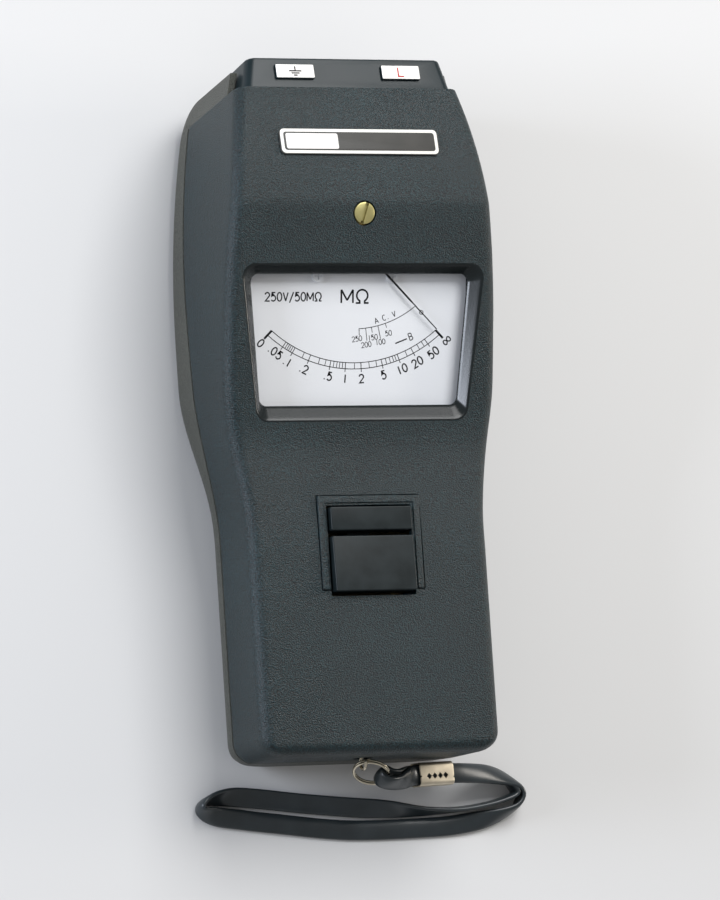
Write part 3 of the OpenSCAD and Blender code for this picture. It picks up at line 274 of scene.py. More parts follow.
def finish(name, dark, light, rough, grain=0.0, relief=0.0, drift=0.01, metal=0.0, shine=0.5, pit_shade=0.0):
    """Noise of size drift mixes two screen colours. Pebbles of size grain, in metres, lift the
    surface by relief, in metres, and painted shade darkens the valleys between them by the share given last."""
    mat = bpy.data.materials.new(name)
    mat.use_nodes = True
    nodes, link = mat.node_tree.nodes, mat.node_tree.links.new
    shader = nodes["Principled BSDF"]
    place = nodes.new("ShaderNodeTexCoord")

    def noise(size, detail):
        """Noise over the object whose features are of a size in metres."""
        node = nodes.new("ShaderNodeTexNoise")
        put(node, {"Scale": 1 / size, "Detail": detail})
        link(place.outputs["Object"], node.inputs["Vector"])
        return node

    slow = noise(drift, 4)
    tones = nodes.new("ShaderNodeValToRGB")
    for stop, position, tone in zip(tones.color_ramp.elements, (0.3, 0.7), (dark, light)):
        stop.position, stop.color = position, linear(*tone)
    link(slow.outputs["Fac"], tones.inputs["Fac"])
    colour = tones.outputs["Color"]
    spread = nodes.new("ShaderNodeMapRange")
    put(spread, {"To Min": rough * 0.85, "To Max": rough * 1.15})
    link(slow.outputs["Fac"], spread.inputs["Value"])
    link(spread.outputs["Result"], shader.inputs["Roughness"])
    put(shader, {"Metallic": metal, "Specular IOR Level": shine})
    if grain:
        fine = noise(grain, 2)
        bump = nodes.new("ShaderNodeBump")
        put(bump, {"Distance": relief})
        link(fine.outputs["Fac"], bump.inputs["Height"])
        link(bump.outputs["Normal"], shader.inputs["Normal"])
    # Painted shade: the base colour is darkened in the valleys of the grain, where its shade falls.
    if pit_shade:
        valley = nodes.new("ShaderNodeMapRange")
        put(valley, {"From Min": 0.35, "From Max": 0.65, "To Min": 1 - pit_shade, "To Max": 1 + pit_shade})
        link(fine.outputs["Fac"], valley.inputs["Value"])
        shade = nodes.new("ShaderNodeVectorMath")
        shade.operation = "SCALE"
        link(colour, shade.inputs[0])
        link(valley.outputs["Result"], shade.inputs["Scale"])
        colour = shade.outputs["Vector"]
    link(colour, shader.inputs["Base Color"])
    return mat


def wear(pieces, mat):
    """Gives the finish to every slot of each object, or adds one to a new piece."""
    for piece in pieces:
        if piece.data.materials:
            for slot in piece.material_slots:
                slot.material = mat
        else:
            piece.data.materials.append(mat)


LEATHER = {"grain": 0.00042, "relief": 0.0003, "drift": 0.03}
grained = finish("grained_black", (8, 27, 31), (18, 36, 40), 0.4, shine=0.42, pit_shade=1.0, **LEATHER)
# Painted light: the rear shell and the battery cover wear a lighter copy of the same black plastic, standing
# in for light reflected on the rear's lower walls.
grained_rear_painted_light = finish("grained_black_rear_painted_light", (60, 62, 57), (70, 71, 65), 0.42, shine=0.35, pit_shade=0.4, **LEATHER)
smooth_black = finish("smooth_black", (11, 25, 29), (20, 34, 38), 0.38, 0.0004, 0.00001, 0.02, shine=0.33)
key_black = finish("key_black", (14, 22, 24), (28, 36, 38), 0.4, 0.0005, 0.00001, 0.006, shine=0.25)
rim_black = finish("rim_black", (14, 20, 21), (22, 28, 29), 0.24, 0.0005, 0.00001, 0.02, shine=0.35)
strap_black = finish("strap_black", (32, 39, 42), (43, 50, 54), 0.3, 0.0008, 0.00002)
wear([strap], strap_black)
print("finishes so far:", len(bpy.data.materials))

# %% [markdown]
# ## The case's form in numbers
# The case is a row of cross-sections. Its width is constant along the grip and swells at the head,
# its face dips before it climbs to the window, and towards the far end every section leans back a
# little, because the end wall is cut at a slant. These are the same formulas as in the CAD part.

# %% Width, height and back edge along the case
WALL, CORNER_R, EDGE_R, BACK_END_R = 2.2, 6.5, 3.8, 3.5
GRIP_HALF, SWELL, SWELL_Y, SWELL_LEN = 40.2, 5.5, 68, 48
TAPER, TAPER_Y, TAPER_LEN = 8.1, 131, 74.7
GRIP_H, DIP, DIP_Y, DIP_LEN, LOW_H = 39.4, 1.2, 60, 37, 38.2
FOOT_Y, CREASE_Y, CROWN_LEN, CROWN_FALL, BLEND = 97, 169, 36.7, 5.9, 6
GRIP_R, HEAD_R, BACK_Y, BACK_LEN = 15, 5, 76, 44


def smooth(t):
    """0 below 0, 1 above 1, and u u (3 - 2 u) between."""
    u = np.clip(t, 0, 1)
    return u * u * (3 - 2 * u)


def ramp(t, b):
    """0, then a parabola from -b to b, then t."""
    return np.where(t < -b, 0, np.where(t > b, t, (t + b) ** 2 / (4 * b)))


def half_width(y):
    """Half the grip, plus half the swelling of the head, less the taper towards the end."""
    taper = TAPER * np.maximum((y - TAPER_Y) / TAPER_LEN, 0) ** 2.1
    return GRIP_HALF + SWELL * smooth((y - SWELL_Y) / SWELL_LEN) - taper


def face_height(y):
    """The grip's face with its dip, then the slope of the window, then the crowned top."""
    slope = GRIP_H - DIP * smooth((y - DIP_Y) / DIP_LEN) + TAN * ramp(y - FOOT_Y, BLEND)
    crown = LOW_H + TAN * (CREASE_Y - FOOT_Y) - CROWN_FALL * ((y - CREASE_Y) / CROWN_LEN) ** 2
    return np.where(y > CREASE_Y, crown, slope)


def back_radius(y):
    """The radius of the back's edges: large along the grip, small along the head."""
    return GRIP_R - (GRIP_R - HEAD_R) * smooth((y - BACK_Y) / BACK_LEN)


END_H = float(face_height(CASE_LEN))
print("height of the grip %.1f, of the crease %.2f, of the end %.2f"
      % (face_height(50), face_height(CREASE_Y), END_H))

# %% Rows and sections of the two shells
SPLIT_H, SPLIT_FALL, SPLIT_Y, LEAN_LEN = 16, 6.5, 104, 33.7
GROOVE, GROOVE_DEPTH = np.array([[0, 0.35, 0.5]]), 0.45
SIDE_ANGLE = np.pi / 2 - 1e-6
corner = np.radians(np.arange(0, 90, 6))
plain = np.concatenate([np.arange(7.2, 90, 2.2), np.arange(90, 110, 1.25), np.arange(111, CREASE_Y, 2),
                        np.arange(CREASE_Y, 199, 1.6), [199, 201.3, 203.5, CASE_LEN]])
row_y = np.concatenate([CORNER_R * (1 - np.cos(corner)), [CORNER_R], plain])[:, None]
row_a = np.concatenate([corner, np.full(len(plain) + 1, np.pi / 2)])[:, None]
row_k = TAN * np.clip((row_y - CREASE_Y) / LEAN_LEN, 0, 1)
row_top = face_height(row_y)
SPLIT_END = CASE_LEN - (END_H - SPLIT_H + SPLIT_FALL) * TAN


def split_level(y, k, top):
    """The parting line: level along the grip, then falling; solved for a section that leans."""
    g = SPLIT_FALL / (SPLIT_END - SPLIT_Y)
    return np.where(y < SPLIT_Y, SPLIT_H, (SPLIT_H - g * (y - k * top - SPLIT_Y)) / (1 + g * k))


def end_fall(a, t, r):
    """How far the face or the back curls in, by a quarter circle of radius r, in the rows of the
    end's corner."""
    d = np.clip((CORNER_R - t) * (1 - np.cos(a)), 0, r)
    return np.where(a < SIDE_ANGLE, r - np.sqrt(np.maximum(r * r - (r - d) ** 2, 0)), 0)


def section_points(y, a, k, top, t, x_in, z, side, dent=0):
    """A point of a section set in by t: its y falls back with the lean, its x is the half width
    there, less the corner's rounding and x_in. A dent moves it further inwards, square to the wall."""
    bend = a < SIDE_ANGLE
    yy = np.where(bend, t + dent * np.cos(a) + (CORNER_R - t) * (1 - np.cos(a)), y - k * (top - z))
    corner_in = np.where(bend, (CORNER_R - t) * (1 - np.sin(a)), 0)
    x = half_width(yy) - t - corner_in - x_in - dent * np.sin(a)
    return np.stack(np.broadcast_arrays(side * x, yy, z), axis=-1)


def whole_section(args, side, dent, n):
    """One side's half, n points across the flat and the other half back."""
    one, two = (section_points(*args, s, dent) for s in (side, -side))
    share = (np.arange(1, n + 1) / (n + 1))[None, :, None]
    flat = one[:, -1:] * (1 - share) + two[:, -1:] * share
    return np.concatenate([one, flat, two[:, ::-1]], axis=1)


def groove_dent(stations, t):
    """The groove of the parting line dents the first two heights of the outer skin and no other."""
    depth = np.zeros((1, stations))
    depth[0, :2] = GROOVE_DEPTH if t == 0 else 0
    return depth


def front_rows(t):
    """Up the left wall, round its edge, across the face, round the right edge and down."""
    r = EDGE_R - t
    up = row_top - t - end_fall(row_a, t, r)
    low = split_level(row_y, row_k, row_top)
    s = np.linspace(0.06, 1, 11)[None, :-1]
    b = np.linspace(0, np.pi / 2, 9)[None, :]
    x_in = np.concatenate([0 * GROOVE + 0 * up, 0 * s + 0 * up, r * (1 - np.cos(b)) + 0 * up], axis=1)
    z = np.concatenate([low + GROOVE, low + (up - r - low) * s, up - r + r * np.sin(b)], axis=1)
    return whole_section((row_y, row_a, row_k, row_top, t, x_in, z), -1, groove_dent(z.shape[1], t), 44)


def shell(skins, side, necks=(), extra=0):
    """Points and faces of a wall between an outer and an inner skin of open rows. The first row is
    closed by quads from each of its first side points to its mirror image. The rows may go on in
    a neck, given for both skins, whose rows have some extra points at each side."""
    m, n = skins[0].shape[:2]
    rows = np.arange(m * n).reshape(m, n)
    parts = [[skin.reshape(-1, 3)] for skin in skins]
    faces, one, two, last = quads(rows), rows[:, 0], rows[:, -1], rows[-1]
    for part, neck in zip(parts, necks):
        part += [neck[0, :extra], neck[0, -extra:], neck[1:].reshape(-1, 3)]
    if necks:
        low, high = m * n + np.arange(2 * extra).reshape(2, extra)
        rest = np.arange((len(necks[0]) - 1) * (n + 2 * extra)).reshape(-1, n + 2 * extra)
        chain = np.concatenate([np.concatenate([low, rows[-1], high])[None], m * n + 2 * extra + rest])
        faces, last = faces + quads(chain), chain[-1]
        one = np.concatenate([one, low[::-1], chain[1:, 0]])
        two = np.concatenate([two, high, chain[1:, -1]])
    points, inside = (np.concatenate(part) for part in parts)
    q = len(points)
    faces += [[q + i for i in f[::-1]] for f in faces]
    ends = quads(np.stack([rows[0, :side], rows[0, ::-1][:side]]))
    ends.append(rows[0, side - 1:n - side + 1].tolist())
    faces += ends + [[q + i for i in f[::-1]] for f in ends]
    faces.append([rows[0, 0], q + rows[0, 0], q + rows[0, -1], rows[0, -1]])
    for line, flip in ((one, 1), (two, -1), (last, -1)):
        faces += quads(np.stack([line, q + line], axis=1)[:, ::flip])
    return np.concatenate([points, inside]), faces


front_wall = shell([front_rows(0), front_rows(WALL)], side=22)
print("front shell:", len(front_wall[0]), "points")

# %% [markdown]
# ## Front case
# Each opening crosses many rows of the shell, so it is cut out of it with a closed cutter, which is
# only a column over an outline. The softer lips of the openings are pieces of their own.

# %% Cutting tools
def flip_if_inside_out(piece):
    """Turns all faces round if the volume they enclose, the sum of a . (b x c) / 6, is negative."""
    mesh = piece.data
    mesh.calc_loop_triangles()
    corners = np.array([t.vertices for t in mesh.loop_triangles])
    points = np.empty(len(mesh.vertices) * 3)
    mesh.vertices.foreach_get("co", points)
    a, b, c = points.reshape(-1, 3)[corners].transpose(1, 0, 2)
    if np.sum(a * np.cross(b, c)) < 0:
        mesh.flip_normals()
    return piece


def rounded_outline(low_w, high_w, y0, y1, r, steps=8):
    """A trapezoid with round corners: each corner is an arc between the normals of its sides."""
    tilt = np.arctan((high_w - low_w) / 2 / (y1 - y0 - 2 * r))
    arcs = [(low_w, y0 + r, 1, -np.pi / 2, -tilt), (high_w, y1 - r, 1, -tilt, np.pi / 2),
            (high_w, y1 - r, -1, np.pi / 2, np.pi + tilt), (low_w, y0 + r, -1, np.pi + tilt, 1.5 * np.pi)]
    points = []
    for w, y, side, a0, a1 in arcs:
        a = np.linspace(a0, a1, steps)
        points.append(np.stack([side * (w / 2 - r) + r * np.cos(a), y + r * np.sin(a)], axis=1))
    return np.concatenate(points)


def flat_ring(outline, z):
    """The outline at a height."""
    return np.column_stack([outline, np.full(len(outline), z)])


def column(outline, z0, z1):
    """Two rings: the outline at z0 and at z1."""
    return np.stack([flat_ring(outline, z0), flat_ring(outline, z1)])


PIVOT_Y, PIVOT_Z = 158.1, 42.405


def leaned(points, angle, y, z):
    """Points turned about x by an angle and then moved by y and z."""
    p = np.asarray(points, float)
    c, s = np.cos(angle), np.sin(angle)
    return np.stack([p[..., 0], y + c * p[..., 1] - s * p[..., 2],
                     z + s * p[..., 1] + c * p[..., 2]], axis=-1)


def on_dial(points):
    """From the dial's frame, which is tilted with the window and starts at the pivot, to the case's."""
    return leaned(points, TILT, PIVOT_Y, PIVOT_Z)


def cut(piece, *cutters, sharp=35):
    """Takes closed ring stacks out of the piece, one after the other."""
    for rings in cutters:
        tool = flip_if_inside_out(make_piece("cutter", rings, tube(rings)))
        step = piece.modifiers.new("cut", "BOOLEAN")
        step.object, step.solver = tool, "EXACT"
        evaluated = piece.evaluated_get(bpy.context.evaluated_depsgraph_get())
        result = bpy.data.meshes.new_from_object(evaluated)
        piece.modifiers.clear()
        piece.data = result
        bpy.data.objects.remove(tool)
    piece.data.shade_smooth()
    piece.data.set_sharp_from_angle(angle=np.radians(sharp))
    return piece


def circle(x, y, r, n=48):
    """n points of a circle."""
    a = np.arange(n) / n * 2 * np.pi
    return np.stack([x + r * np.cos(a), y + r * np.sin(a)], axis=1)


# %% Front case with its openings
RIM_TOP, RIM_FOOT, RIM_TOP_W, RIM_FOOT_W, RIM_R = -6.9, -54.6, 80.6, 71.4, 4.4
FACE_ZL, RECESS, LIP = 7.0, 3.0, 0.14
REACH, HOLE_R = 8.9, 3.85


def window_outline(inset, r):
    """The window's outline, from the outer edge of its rim at 0 to the clear opening at 1."""
    return rounded_outline(RIM_FOOT_W - 4.4 * inset, RIM_TOP_W - 7.2 * inset, RIM_FOOT + 4.2 * inset,
                           RIM_TOP - 3 * inset, r, 12)


key_seat = rounded_outline(35.0, 35.0, 50.35, 79.95, 0.4, 3)
key_hole = rounded_outline(28.6, 28.6, 48.67, 76.6, 0.3, 3)
front = flip_if_inside_out(make_piece("front_shell", *front_wall))
end_hole = column(circle(0, -23, 3.2), -1, 1.3)[..., [0, 2, 1]] * [1, 1, -1]
cut(front, on_dial(column(window_outline(-LIP, RIM_R), -6, 12)),
    on_dial(column(circle(0, REACH, HOLE_R), -4, 12)),
    column(key_seat, LOW_H, 60), column(key_hole, 30, 60), end_hole)
wear([front], grained)
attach(front, "case")
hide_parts("front_case")
print("front case:", len(front.data.polygons), "faces")

# %% [markdown]
# The rim of the window flares outwards. Its section starts level with the face, turns over a soft
# lip and runs down to the window. Carried round the outline, with corners that widen outwards, it
# gives the narrow bright and dark bands of the real rim.

# %% Rim of the window
inset = np.array([-LIP, -0.09, -0.04, 0.0, 0.04, 0.09, 0.14, 0.3, 0.55, 0.8, 0.97, 1.0, 1.0])
fall = -RECESS * ramp(inset, LIP) / ramp(np.array(1.0), LIP)
fall[-2:] = [-RECESS - 0.1, -RECESS - 0.6]
inset = np.append(inset, [0.0, -LIP, -LIP])
fall = np.append(fall, [-RECESS - 0.6, -RECESS - 0.6, -1.5])
rim_rings = on_dial(np.stack([flat_ring(window_outline(i, RIM_R - 1.9 * np.clip(i, 0, 1)), FACE_ZL + z)
                              for i, z in zip(inset, fall)]))
rim = flip_if_inside_out(make_piece("window_rim", rim_rings, loop_faces(rim_rings), sharp=40))
wear([rim], rim_black)
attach(rim, "case")
print("window rim:", len(rim.data.polygons), "faces")

# %% [markdown]
# ## Rear case
# The rear shell is the same row of sections below the parting line, and it goes on past the front
# shell as a collar that wraps the terminal block. Its wall has a seat for the battery cover and
# counterbores for the case screws.

# %% Rear case
ARC_R, COLLAR_LEN, COLLAR_TOP, EXTRA = 12, 6.8, END_H - 7.5, 8


def back_low(y, k):
    """Where the back turns up towards the slanted end, on an arc of radius ARC_R."""
    arc_y = CASE_LEN + (COLLAR_LEN - ARC_R) / np.cos(TILT) - (END_H - ARC_R) * TAN
    b = np.clip(y - k * (face_height(y) - 0.4) - arc_y, 0, ARC_R - 0.01)
    return ARC_R - np.sqrt(ARC_R ** 2 - b * b)


def rear_section(y, a, k, top, t, low, high, dented=False):
    """Down the right wall, round the back edge, across the back and up the left wall."""
    lo = low + t + end_fall(a, t, BACK_END_R - t)
    r = np.minimum(high - lo - 0.3, np.maximum(0.8, back_radius(y) - t))
    s = np.array([[0, 0.35, 0.5, 0.75]])
    b = np.linspace(0, np.pi / 2, 13)[None, :]
    x_in = np.concatenate([0 * s + 0 * r, r * (1 - np.cos(b))], axis=1)
    fall = np.where(s < 0.6, np.minimum(s, (high - lo - r) * s), (high - lo - r) * s)
    z = np.concatenate([high - fall, lo + r - r * np.sin(b)], axis=1)
    dent = groove_dent(z.shape[1], t if dented else 1)
    return whole_section((y, a, k, top, t, x_in, z), 1, dent, 40)


def rear_rows(t):
    """The rows below the parting line."""
    return rear_section(row_y, row_a, row_k, row_top, t, back_low(row_y, row_k),
                        split_level(row_y, row_k, row_top), True)


phi0 = np.pi / 2 - TILT - np.arccos((ARC_R - COLLAR_LEN) / ARC_R)
phi = np.linspace(phi0, np.pi / 2 - TILT, 12)[:, None]


def collar_rows(t):
    """The collar's rows turn up along the arc at the end, each with a wall up to the collar's top."""
    y = CASE_LEN + (COLLAR_LEN - ARC_R + ARC_R * np.cos(np.pi / 2 - TILT - phi)) / np.cos(TILT)
    low = ARC_R - ARC_R * np.cos(phi)
    a, k, top = np.pi / 2, TAN, END_H
    high = low + back_radius(y) + 1
    z = COLLAR_TOP + (high - COLLAR_TOP) * np.linspace(0, 1, EXTRA + 1)[None, :-1]
    walls = [section_points(y, a, k, top, t, 0 * z, z, side) for side in (1, -1)]
    return np.concatenate([walls[0], rear_section(y, a, k, top, t, low, high), walls[1][:, ::-1]], axis=1)


necks = [collar_rows(0), collar_rows(WALL)]
rear_wall = shell([rear_rows(0), rear_rows(WALL)], side=17, necks=necks, extra=EXTRA)
rear = flip_if_inside_out(make_piece("rear_shell", *rear_wall))
cover_seat = rounded_outline(38.5, 38.5, 4.5, 122.5, 3)
SCREWS, COUNTERBORE_R = [(-25.5, 14), (25.5, 14), (-31, 186), (31, 186)], 3.3
cut(rear, column(cover_seat, -3, 2.9), *[column(circle(x, y, COUNTERBORE_R), -2, 4) for x, y in SCREWS])
wear([rear], grained_rear_painted_light)
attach(rear, "case")
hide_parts("rear_case")
print("rear case:", len(rear.data.polygons), "faces")

# %% [markdown]
# ## Printed lines
# The dial, the labels and their signs are print. An image would blur when the camera comes close,
# so each stroke is a thin raised ribbon: a line of points, widened by half the stroke to both
# sides. Numerals are drawn the same way, from short lines and arcs, as an engraver's template does.

# %% Ribbons and glyphs
def ribbon(points, wide, lift=0.03):
    """A flat closed strip along the points. At each point it is widened along the mean normal of
    the two segments there, by half the width over the cosine of half the bend."""
    p = np.asarray(points, float)
    p = p[np.append(True, np.linalg.norm(np.diff(p, axis=0), axis=1) > 1e-4)]
    d = unit(np.diff(p, axis=0))
    before, after = np.concatenate([d[:1], d]), np.concatenate([d, d[-1:]])
    mean = unit(before + after + 1e-9)
    stretch = 1 / np.maximum(np.sum(mean * before, axis=1, keepdims=True), 0.5)
    side = np.stack([-mean[:, 1], mean[:, 0]], axis=1) * wide / 2 * stretch
    return column(np.concatenate([p - side, (p + side)[::-1]]), 0, lift)


def bow(x, y, rx, ry, start, end, n=14):
    """Points of an ellipse's arc between two angles in degrees."""
    a = np.radians(np.linspace(start, end, n))
    return np.stack([x + rx * np.cos(a), y + ry * np.sin(a)], axis=1).tolist()


eight = np.linspace(0, 2 * np.pi, 33)
flat_eight = np.stack([np.cos(eight) / 2, 1.1 * np.sin(eight) * np.cos(eight)], axis=1)
GLYPHS = {
    "0": [bow(0.29, 0.5, 0.29, 0.5, 0, 360, 29)], "1": [[(0.25, 0), (0.25, 1)]],
    "2": [bow(0.28, 0.72, 0.28, 0.28, 170, -35) + [(0.02, 0), (0.58, 0)]],
    "5": [[(0.52, 1), (0.12, 1), (0.05, 0.56)] + bow(0.27, 0.33, 0.3, 0.33, 125, -145)],
    ".": [[(0.1, 0), (0.1, 0.13)]], "/": [[(0, -0.2), (0.5, 1.05)]], " ": [],
    "M": [[(0, 0), (0, 1)], [(0, 1), (0.4, 0.2)], [(0.4, 0.2), (0.8, 1)], [(0.8, 1), (0.8, 0)]],
    "Ω": [[(0, 0), (0.27, 0), (0.27, 0.1)] + bow(0.44, 0.56, 0.38, 0.44, 242, -62, 22)
          + [(0.61, 0.1), (0.61, 0), (0.88, 0)]],
    "A": [[(0, 0), (0.33, 1)], [(0.33, 1), (0.66, 0)], [(0.12, 0.33), (0.54, 0.33)]],
    "C": [bow(0.36, 0.5, 0.34, 0.5, 50, 310)], "V": [[(0, 1), (0.31, 0)], [(0.31, 0), (0.62, 1)]],
    "B": [[(0.05, 0), (0.05, 1)],
          [(0.05, 1), (0.3, 1)] + bow(0.3, 0.76, 0.22, 0.24, 90, -90, 9) + [(0.05, 0.52)],
          [(0.3, 0.52)] + bow(0.3, 0.26, 0.26, 0.26, 90, -90, 9) + [(0.05, 0)]],
    "∞": [(0.5 + flat_eight / (1 + np.sin(eight)[:, None] ** 2)).tolist()]}
WIDTHS = {"1": 0.5, ".": 0.2, "/": 0.5, " ": 0.35, "M": 0.8, "Ω": 0.88, "A": 0.66, "C": 0.66, "V": 0.62,
          "B": 0.56, "∞": 1.0}
DIGIT_W = 0.58


def letters(text, x, y, high, turn=0.0, pen=0.2, gap=0.24, slim=1.0):
    """Ribbons of a line of text, centred at x, y, with capitals of a height, turned about its centre."""
    starts = np.cumsum([0] + [WIDTHS.get(c, DIGIT_W) + gap for c in text])
    rows = []
    for sign, start in zip(text, starts):
        for line in GLYPHS[sign]:
            flat = (np.array(line) + [start - (starts[-1] - gap) / 2, -0.5]) * [high * slim, high]
            rows.append(ribbon(flat @ spin(turn) + [x, y], pen))
    return rows


def printed(name, rows, to_place, mat):
    """One piece from a list of ribbons, put in place by a function."""
    points, faces = tubes(rows)
    piece = make_piece(name, to_place(points), faces)
    wear([piece], mat)
    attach(piece, "case")
    print(name, "has", len(rows), "strokes")


dial_ink = finish("dial_ink", (14, 14, 16), (24, 24, 26), 0.7, drift=0.004, shine=0.1)

# %% [markdown]
# ## Terminal block and labels
# A smooth moulding closes the far end: a rounded bar with two sockets in its end face and two
# white tiles let into its top. The tiles, the nameplate and the keys are slabs, so a function makes
# their rings: rounded rectangles that draw in as they rise round the edge.

# %% Rounded slabs
def on_end(points):
    """From the frame of the slanted end wall, whose y points out of it, to the case's."""
    return leaned(points, -TILT, CASE_LEN, END_H)


def slab_rings(w, y0, y1, z0, z1, r, edge, steps=5):
    """Rings of a rounded rectangle: straight up from z0, then over a quarter circle of radius edge."""
    b = np.linspace(0, np.pi / 2, steps)
    levels = [(0, z0)] + [(edge * (1 - np.cos(i)), z1 - edge + edge * np.sin(i)) for i in b]
    return np.stack([flat_ring(rounded_outline(w - 2 * d, w - 2 * d, y0 + d, y1 - d, max(r - d, 0.05), 7), z)
                     for d, z in levels])


def solid(name, rings, mat, body):
    """A closed piece from stacked rings, with its finish and the body it rides on."""
    piece = flip_if_inside_out(make_piece(name, rings, tube(rings)))
    wear([piece], mat)
    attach(piece, body)
    return piece


BLOCK_W, SOCKET_X, SOCKET_Z, SEAT_R = 70.2, 17.9, -14, 3.2
block_face = slab_rings(BLOCK_W, -33, 0, -0.01, BLOCK_LEN, 3, 0.7)
block_face[..., 0] *= (half_width(CASE_LEN + block_face[..., 2] * np.cos(TILT)) - 2.5) / (BLOCK_W / 2)
block = solid("end_block", on_end(block_face[..., [0, 2, 1]]), smooth_black, "case")
tile_seat, sides = rounded_outline(13.1, 13.1, 2.45, 7.15, 0.4, 3), (-SOCKET_X, SOCKET_X)
cut(block, *[on_end(column(tile_seat + [x, 0], -0.6, 3)) for x in sides],
    *[on_end(column(circle(x, SOCKET_Z, SEAT_R), -1, 12)[..., [0, 2, 1]]) for x in sides])
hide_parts("terminal_block")

white_tile = finish("white_tile", (236, 233, 228), (243, 241, 237), 0.45, 0.0006, 0.00001)
# Painted shade: each tile's body is black and its white face is set in from the edges, most at the bottom, so
# a dark band stands for the shade on the tiles' sides.
for x, node in zip(sides, ("earth_label", "line_label")):
    tile = solid(node + "_tile", on_end(slab_rings(12.9, 2.55, 7.05, -0.6, 0.9, 0.35, 0.1) + [x, 0, 0]),
                 smooth_black, "case")
    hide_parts(node)
    solid(node + "_face", on_end(slab_rings(12.7, 2.75, 7.0, 0.8, 1.0, 0.3, 0.04) + [x, 0, 0]),
          white_tile, "case")
earth_sign = [[(-SOCKET_X, 6.4), (-SOCKET_X, 4.9)]]
earth_sign += [[(-SOCKET_X - w, y), (-SOCKET_X + w, y)] for w, y in ((2.1, 4.9), (1.35, 4.2), (0.6, 3.5))]
line_sign = [[(17.0, 6.4), (17.0, 3.5), (18.9, 3.5)]]
sign_red = finish("sign_red", (176, 40, 44), (190, 50, 54), 0.6, drift=0.004, shine=0.2)
for name, lines, ink in (("earth_sign", earth_sign, dial_ink), ("line_sign", line_sign, sign_red)):
    printed(name, [ribbon(line, 0.42) + [0, 0, 1.0] for line in lines], on_end, ink)
print("block made")

# %% [markdown]
# ## Keys
# The keys are two smooth slabs in a U-shaped frame. The large one is a wedge that stands proud at
# its lower end, so its slab is sheared upwards along y. The frame is one section, with a small
# inner step, carried round three sides.

# %% Keys
KEY_W, KEY_TOP, KEY_END, KEY_LEN, PROUD = 27.2, GRIP_H + 1.7, 67.05, 17.15, 0.9
key_rings = slab_rings(KEY_W, 49.9, KEY_END, GRIP_H - 4.4, KEY_TOP, 0.5, 0.35)
key_rings[1:, :, 2] += PROUD * np.clip((KEY_END - key_rings[1:, :, 1]) / KEY_LEN, 0, 1)
big_key = solid("measure_key_cap", key_rings, key_black, "measure_key")
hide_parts("measure_key")
small_key = solid("check_key_cap", slab_rings(KEY_W, 68.75, 76.05, GRIP_H - 5.3, KEY_TOP, 0.5, 0.35),
                  key_black, "check_key")
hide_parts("check_key")

# %% Frame round the keys
FRAME_X, FRAME_Y0, FRAME_Y1 = 17.15, 50.7, 79.6
frame_section = np.array([[0, LOW_H], [0, 39.5], [0.1, 39.68], [0.3, 39.75], [2.05, 39.75], [2.15, 39.72],
                          [2.25, 39.3], [2.8, 39.3], [2.95, 39.25], [3, 39.1], [3, LOW_H]])
way = np.array([[-FRAME_X, FRAME_Y0], [-FRAME_X, FRAME_Y1], [FRAME_X, FRAME_Y1], [FRAME_X, FRAME_Y0]])
inward = np.array([[1, 0], [1, -1], [-1, -1], [-1, 0]])
frame_rings = np.stack([np.column_stack([place + frame_section[:, :1] * turn, frame_section[:, 1]])
                        for place, turn in zip(way, inward)])
key_frame = solid("key_surround", frame_rings, grained, "case")
soft = key_frame.modifiers.new("soft_edges", "BEVEL")
soft.width, soft.segments, soft.limit_method = 0.0002, 2, "ANGLE"
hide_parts("key_frame")
print("keys and frame made")

# %% [markdown]
# ## Zero adjuster
# The adjuster is a turned brass screw that sits a little below the face, in a hole that is wider
# than its head, so a dark crescent shows at the far side. A turned part is a profile carried round
# its axis; the slot is then cut across it. The thin pin below, which turns the zero lever's fork, is
# out of centre by PIN_OUT.

# %% Adjuster
def turned(profile, x, y, n=64):
    """A profile of radius and height, carried round an axis at x, y."""
    return np.stack([flat_ring(circle(x, y, r, n), z) for r, z in profile])


worn_brass = finish("worn_brass", (168, 160, 108), (190, 181, 124), 0.38, 0.0006, 0.00002, 0.004, 0.7)
HEAD_TOP, PIN_OUT, SLOT_DEEP = FACE_ZL + 0.15, 0.9, 0.75
stem = [(0.01, 3.3), (0.4, 3.3), (0.4, 4.3), (2.5, 4.3), (2.5, FACE_ZL - 0.6), (3.4, FACE_ZL - 0.6),
        (3.4, HEAD_TOP - 0.3), (3.32, HEAD_TOP - 0.1), (3.12, HEAD_TOP), (0.01, HEAD_TOP)]
slot_box = rounded_outline(1.0, 1.0, -5, 5, 0.05, 2) @ spin(np.radians(-17)) + [0, REACH]
head_rings = turned(stem, 0, REACH)
head_rings[:3, :, 1] -= PIN_OUT
head = make_piece("adjuster_screw", on_dial(head_rings), tube(head_rings), sharp=40)
cut(flip_if_inside_out(head), on_dial(column(slot_box, HEAD_TOP - SLOT_DEEP, HEAD_TOP + 2)))
wear([head], worn_brass)
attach(head, "adjuster")
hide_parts("zero_adjuster")
print("adjuster of", len(head.data.polygons), "faces")

# %% [markdown]
# ## Clamp
# The clamp is a strip of sheet metal bent round both layers of the strap until its ends meet in a
# zigzag seam with four diamond holes. It is a flat tube: rings of a rounded rectangle along its
# outside and back inside, joined in a loop. The holes and the notches are cut out of it.

# %% Clamp
CLAMP_LEN, CLAMP_W, CLAMP_H, CLAMP_R, SHEET = 13, 7.4, 5.7, 1.3, 0.5
CLAMP_AT, CLAMP_DOWN, CLAMP_ASIDE = (21.6, -5, 14), np.radians(10.9), np.radians(2.2)


